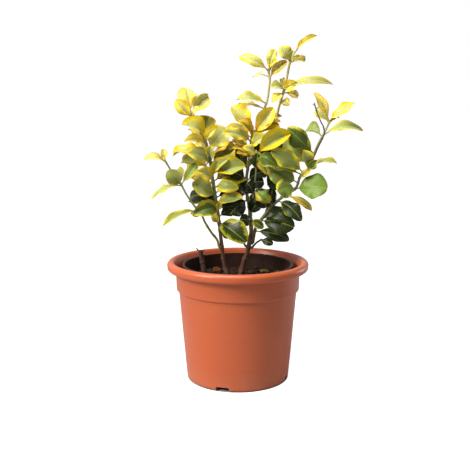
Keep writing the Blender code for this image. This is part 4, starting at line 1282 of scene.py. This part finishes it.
def leafSkin(name, colours):
    # the leathery leaf: a waxed green middle broken into flecks, a yellow edge and pale veins
    material, tree = startMaterial(name)
    where = split(tree, stored(tree, "place"))
    tone = split(tree, stored(tree, "tone"))
    # the tone's first value is the leaf's age, set low as painted shade for leaves deep in the bush
    ageAndShade, margin, orange = (tone, "X"), (tone, "Y"), (tone, "Z")
    seed = stored(tree, "seed", "Fac")
    outward = calculate(tree, "ABSOLUTE", (where, "Y"))
    forward = calculate(tree, "MULTIPLY", outward, leafForm["veinAngle"])
    alongVein = calculate(tree, "SUBTRACT", (where, "X"), forward)

    def leafPlace(along, length, width):
        # a place on this leaf in which patches of that length and width are one unit
        x = calculate(tree, "MULTIPLY", along, 1 / length)
        y = calculate(tree, "MULTIPLY", (where, "Y"), 1 / width)
        return addNode(tree, "CombineXYZ", {"X": x, "Y": y, "Z": seed})

    # sectors of colour 3 mm wide that run out along the side veins
    sectorAt = leafPlace(alongVein, 3.0, 9.0)
    sectors = grain(tree, sectorAt, 1.0, 2.0, 0.6)
    flecks = grain(tree, sectorAt, 1.3, 1.5)

    # yellow from the edge in to the leaf's own margin, which widens and narrows over some 15 mm
    edge = calculate(tree, "ADD", (where, "Z"), remap(tree, sectors, -0.26, 0.26))
    wander = grain(tree, leafPlace((where, "X"), 15.0, 15.0), 1.0, 1.0)
    drifted = calculate(tree, "ADD", edge, remap(tree, wander, -0.15, 0.32, 0.25, 0.75))
    inside = calculate(tree, "SUBTRACT", drifted, margin)
    middle = remap(tree, inside, 0.0, 1.0, -0.12, 0.16, smooth=True)
    fleckShare = remap(tree, flecks, 0.0, 0.35, 0.52, 0.72, smooth=True)
    fleckMask = calculate(tree, "MULTIPLY", fleckShare, remap(tree, ageAndShade, 0.0, 1.0, 0.1, 0.5))
    flecked = blend(tree, fleckMask, colourRamp(tree, ageAndShade, colours["centre"]), colours["fleck"])
    shade = remap(tree, flecks, 0.93, 1.06, 0.3, 0.7)
    yellow = shaded(tree, colourRamp(tree, ageAndShade, colours["margin"]), shade)
    blade = blend(tree, middle, yellow, flecked)

    # orange where the edge reddens, in patches
    reddened = remap(tree, edge, 1.0, 0.05, 0.0, 0.5, smooth=True)
    blushShare = calculate(tree, "MULTIPLY", reddened, orange)
    blushed = blend(tree, blushShare, blade, colourRamp(tree, ageAndShade, colours["blush"]))

    # midrib and side veins; a side vein is 0.2 mm wide and is drawn at 0.5 mm
    ribShare = remap(tree, outward, 0.4, 0.0, 0.35, 0.95, smooth=True)
    ribbed = blend(tree, ribShare, blushed, colours["rib"])
    fromVein = calculate(tree, "PINGPONG", alongVein, 2.4)
    veinShare = remap(tree, fromVein, 0.1, 0.0, 0.1, 0.5, smooth=True)
    veined = blend(tree, veinShare, ribbed, colours["rib"])
    pillow = remap(tree, fromVein, 0.0, 1.0, 0.0, 1.6, smooth=True)
    endMaterial(tree, {"IOR": 1.45, "Specular IOR Level": colours["specular"], "Subsurface Weight": 0.2,
                       "Subsurface Radius": (0.7, 1.0, 0.25), "Subsurface Scale": 0.0012,
                       "Coat Weight": 0.03, "Coat Roughness": 0.2, "Base Color": veined,
                       "Roughness": remap(tree, flecks, *colours["gloss"], 0.3, 0.7),
                       "Normal": bump(tree, pillow, colours["bump"], 0.0004)})
    return material


def leafStalk():
    # a leaf's stalk and midrib: smooth, pale yellow green
    material, tree = startMaterial("leaf_stalk_smooth")
    # the stalk darkens with the same value, which is age and painted shade together
    ageAndShade = (split(tree, stored(tree, "tone")), "X")
    streaks = grain(tree, objectPlace(tree), 1 / 0.002)
    colour = colourRamp(tree, ageAndShade, [(0.0, "#3E4A22"), (0.4, "#7F8844"), (1.0, "#B5AA60")])
    surface = shaded(tree, colour, remap(tree, streaks, 0.8, 1.15))
    endMaterial(tree, {"Subsurface Weight": 0.15, "Subsurface Radius": (0.7, 1.0, 0.3),
                       "Subsurface Scale": 0.001, "Base Color": surface,
                       "Roughness": remap(tree, streaks, 0.38, 0.55)})
    return material


barkColours = {
    "green": [(0.0, "#757B45"), (0.5, "#929654"), (1.0, "#B9AC5C")],
    "wood": [(0.3, "#33190E"), (0.55, "#5C3A27"), (0.8, "#8C6A50")],
    "dead": [(0.3, "#26130F"), (0.55, "#462A23"), (0.8, "#74534A")],
    "pores": "#B79C7C",
}


def stemBark():
    # euonymus shoots: green and smooth when young, then brown bark split lengthwise, with small pale pores
    material, tree = startMaterial("euonymus_bark_grown")
    place = stored(tree, "place")
    tone = split(tree, stored(tree, "tone"))
    drawnOut = addNode(tree, "Mapping", {"Scale": (0.9, 0.9, 0.14), "Vector": place})
    streaks = grain(tree, drawnOut, 1.6, 5.0, 0.65)
    green = colourRamp(tree, (tone, "Y"), barkColours["green"])
    young = shaded(tree, green, remap(tree, streaks, 0.72, 1.25))
    wood = colourRamp(tree, streaks, barkColours["wood"])
    dead = colourRamp(tree, streaks, barkColours["dead"])
    brown = blend(tree, (tone, "Z"), wood, dead)
    ripe = addNode(tree, "Math", {"operation": "ADD", "use_clamp": True, 0: (tone, "X"),
                                  1: remap(tree, streaks, -0.3, 0.3)})
    skin = blend(tree, ripe, young, brown)
    dots = addNode(tree, "TexVoronoi", {"Scale": 0.55, "Vector": place})
    poreShare = remap(tree, (dots, "Distance"), 0.5, 0.0, 0.12, 0.2)
    pored = blend(tree, poreShare, skin, barkColours["pores"])
    endMaterial(tree, {"Specular IOR Level": 0.4, "Base Color": pored,
                       "Roughness": remap(tree, ripe, 0.48, 0.82),
                       "Normal": bump(tree, streaks, 0.6, 0.0004)})
    return material


def growStems():
    stems = {}
    for name, (parent, leavesAt, lowRadius, topRadius, _, points) in stemPlan.items():
        stems[name] = Stem(name, stems.get(parent), leavesAt, lowRadius, topRadius, points)
    for stemName, height, *_ in leafPlan.values():
        stems[stemName].nodes.append(stems[stemName].lengthAt(height))
    for plan in (innerLeafPlan, {name: leaves for name, (_, leaves) in tipPlan.items()}):
        for stemName, leaves in plan.items():
            stems[stemName].nodes += [stems[stemName].lengthAt(leaf[0]) for leaf in leaves]
    for stem in stems.values():
        # leaf scars on the bare wood below the lowest leaf
        lowest = min(stem.nodes, default=stem.total)
        mark = lowest - stemForm["scarSpacing"]
        while mark > 12:
            stem.nodes.append(mark)
            mark -= stemForm["scarSpacing"]
    return stems


def placeLeaf(shape, name, stem, height, reach, width, arch, face, tone):
    # the stalk starts inside the stem's skin, and the tip is where the plan says
    place, _, radius = stem.at(height)
    way = Vector(reach).normalized()
    start = way * radius * 0.6
    addLeaf(shape, name, place + start, Vector(reach) - start, width, arch, face, tone)


def addSnag(shape, base, ahead, length, radius):
    # a short broken side twig, bent a little and pointed at its end
    sideways = ahead.orthogonal().normalized()
    other = ahead.cross(sideways)
    rings = []
    for share in (0, 0.2, 0.45, 0.7, 0.9, 1.0):
        centre = base + ahead * length * share + Vector((0, 0, length * 0.15 * share ** 2))
        wide = radius * (1 - 0.55 * share) * (1.25 if share == 0.7 else 1)
        ring = []
        for x, y in levelRing(1, 7):
            point = centre + (sideways * x + other * y) * wide
            ring.append(shape.addPoint(point, (x * radius, y * radius, length * share), (1, 0, 1), 5.0))
        rings.append(ring)
    shape.joinRings(rings, barkSlot)


# Side twigs that broke off the dead wood: stem, height, way, length, radius
snagPlan = (
    ("pruned_stub", 167, (-0.8, -0.3, 0.75), 9.0, 1.3),
    ("pruned_stub", 168, (0.8, -0.4, 0.45), 7.0, 1.2),
    ("pruned_stub", 161, (0.8, 0.2, 0.3), 5.0, 1.6),
    ("pruned_stub", 156, (-0.8, -0.5, 0.2), 4.5, 1.5),
    ("dead_twig", 362, (0.85, 0.1, 0.5), 4.5, 0.5),
    ("dead_twig", 366, (-0.9, -0.1, 0.4), 3.5, 0.5),
    ("dead_twig", 336, (0.7, -0.3, 0.5), 2.2, 0.5),
)


def buildPlant():
    stems = growStems()
    skins = [leafSkin("euonymus_leaf_waxed_upper", leafColours["upper"]),
             leafSkin("euonymus_leaf_matt_under", leafColours["under"]), leafStalk(), stemBark()]
    for name, stem in stems.items():
        shape = Shape()
        tipHeight = stemPlan[name][4]
        lastRing = stem.ringCount
        if tipHeight:
            lastRing = round(stem.lengthAt(tipHeight) / stem.total * stem.ringCount)
        addStemRings(shape, stem, 0, lastRing)
        for index, leaf in enumerate(innerLeafPlan.get(name, ())):
            placeLeaf(shape, f"{name}_inner_{index + 1}", stem, *leaf)
        for stemName, height, way, length, radius in snagPlan:
            if stemName == name:
                addSnag(shape, stem.at(height)[0], Vector(way).normalized(), length, radius)
        old = stem.rooted or name in ("dead_twig", "low_right_twig", "short_left_twig")
        item = shape.toObject(f"{name}_grown", skins)
        keepPiece(item, "old_wood" if old else "green_stem", name)
        if not tipHeight:
            continue
        tipName, leaves = tipPlan[name]
        shape = Shape()
        addStemRings(shape, stem, lastRing, stem.ringCount)
        for index, leaf in enumerate(leaves):
            placeLeaf(shape, f"{tipName}_{index + 1}", stem, *leaf)
        place, ahead = stem.onPath(stem.total)
        addBud(shape, place - ahead * 0.8, ahead, 4.5, (0.8, 0, 0))
        item = shape.toObject(f"{tipName}_leafy", skins)
        keepPiece(item, "young_leaf", tipName)
    print("Euonymus: stems and young tips grown")
    for name, (stemName, *leaf) in leafPlan.items():
        shape = Shape()
        placeLeaf(shape, name, stems[stemName], *leaf)
        item = shape.toObject(f"{name}_blade", skins[:barkSlot])
        keepPiece(item, "old_leaf", name)
    print("Euonymus: leaves grown")


buildStudio()
buildOuterPot()
buildGrowerPot()
buildPottingMix()
buildBarkChips()
buildPlant()

bpy.context.view_layer.update()
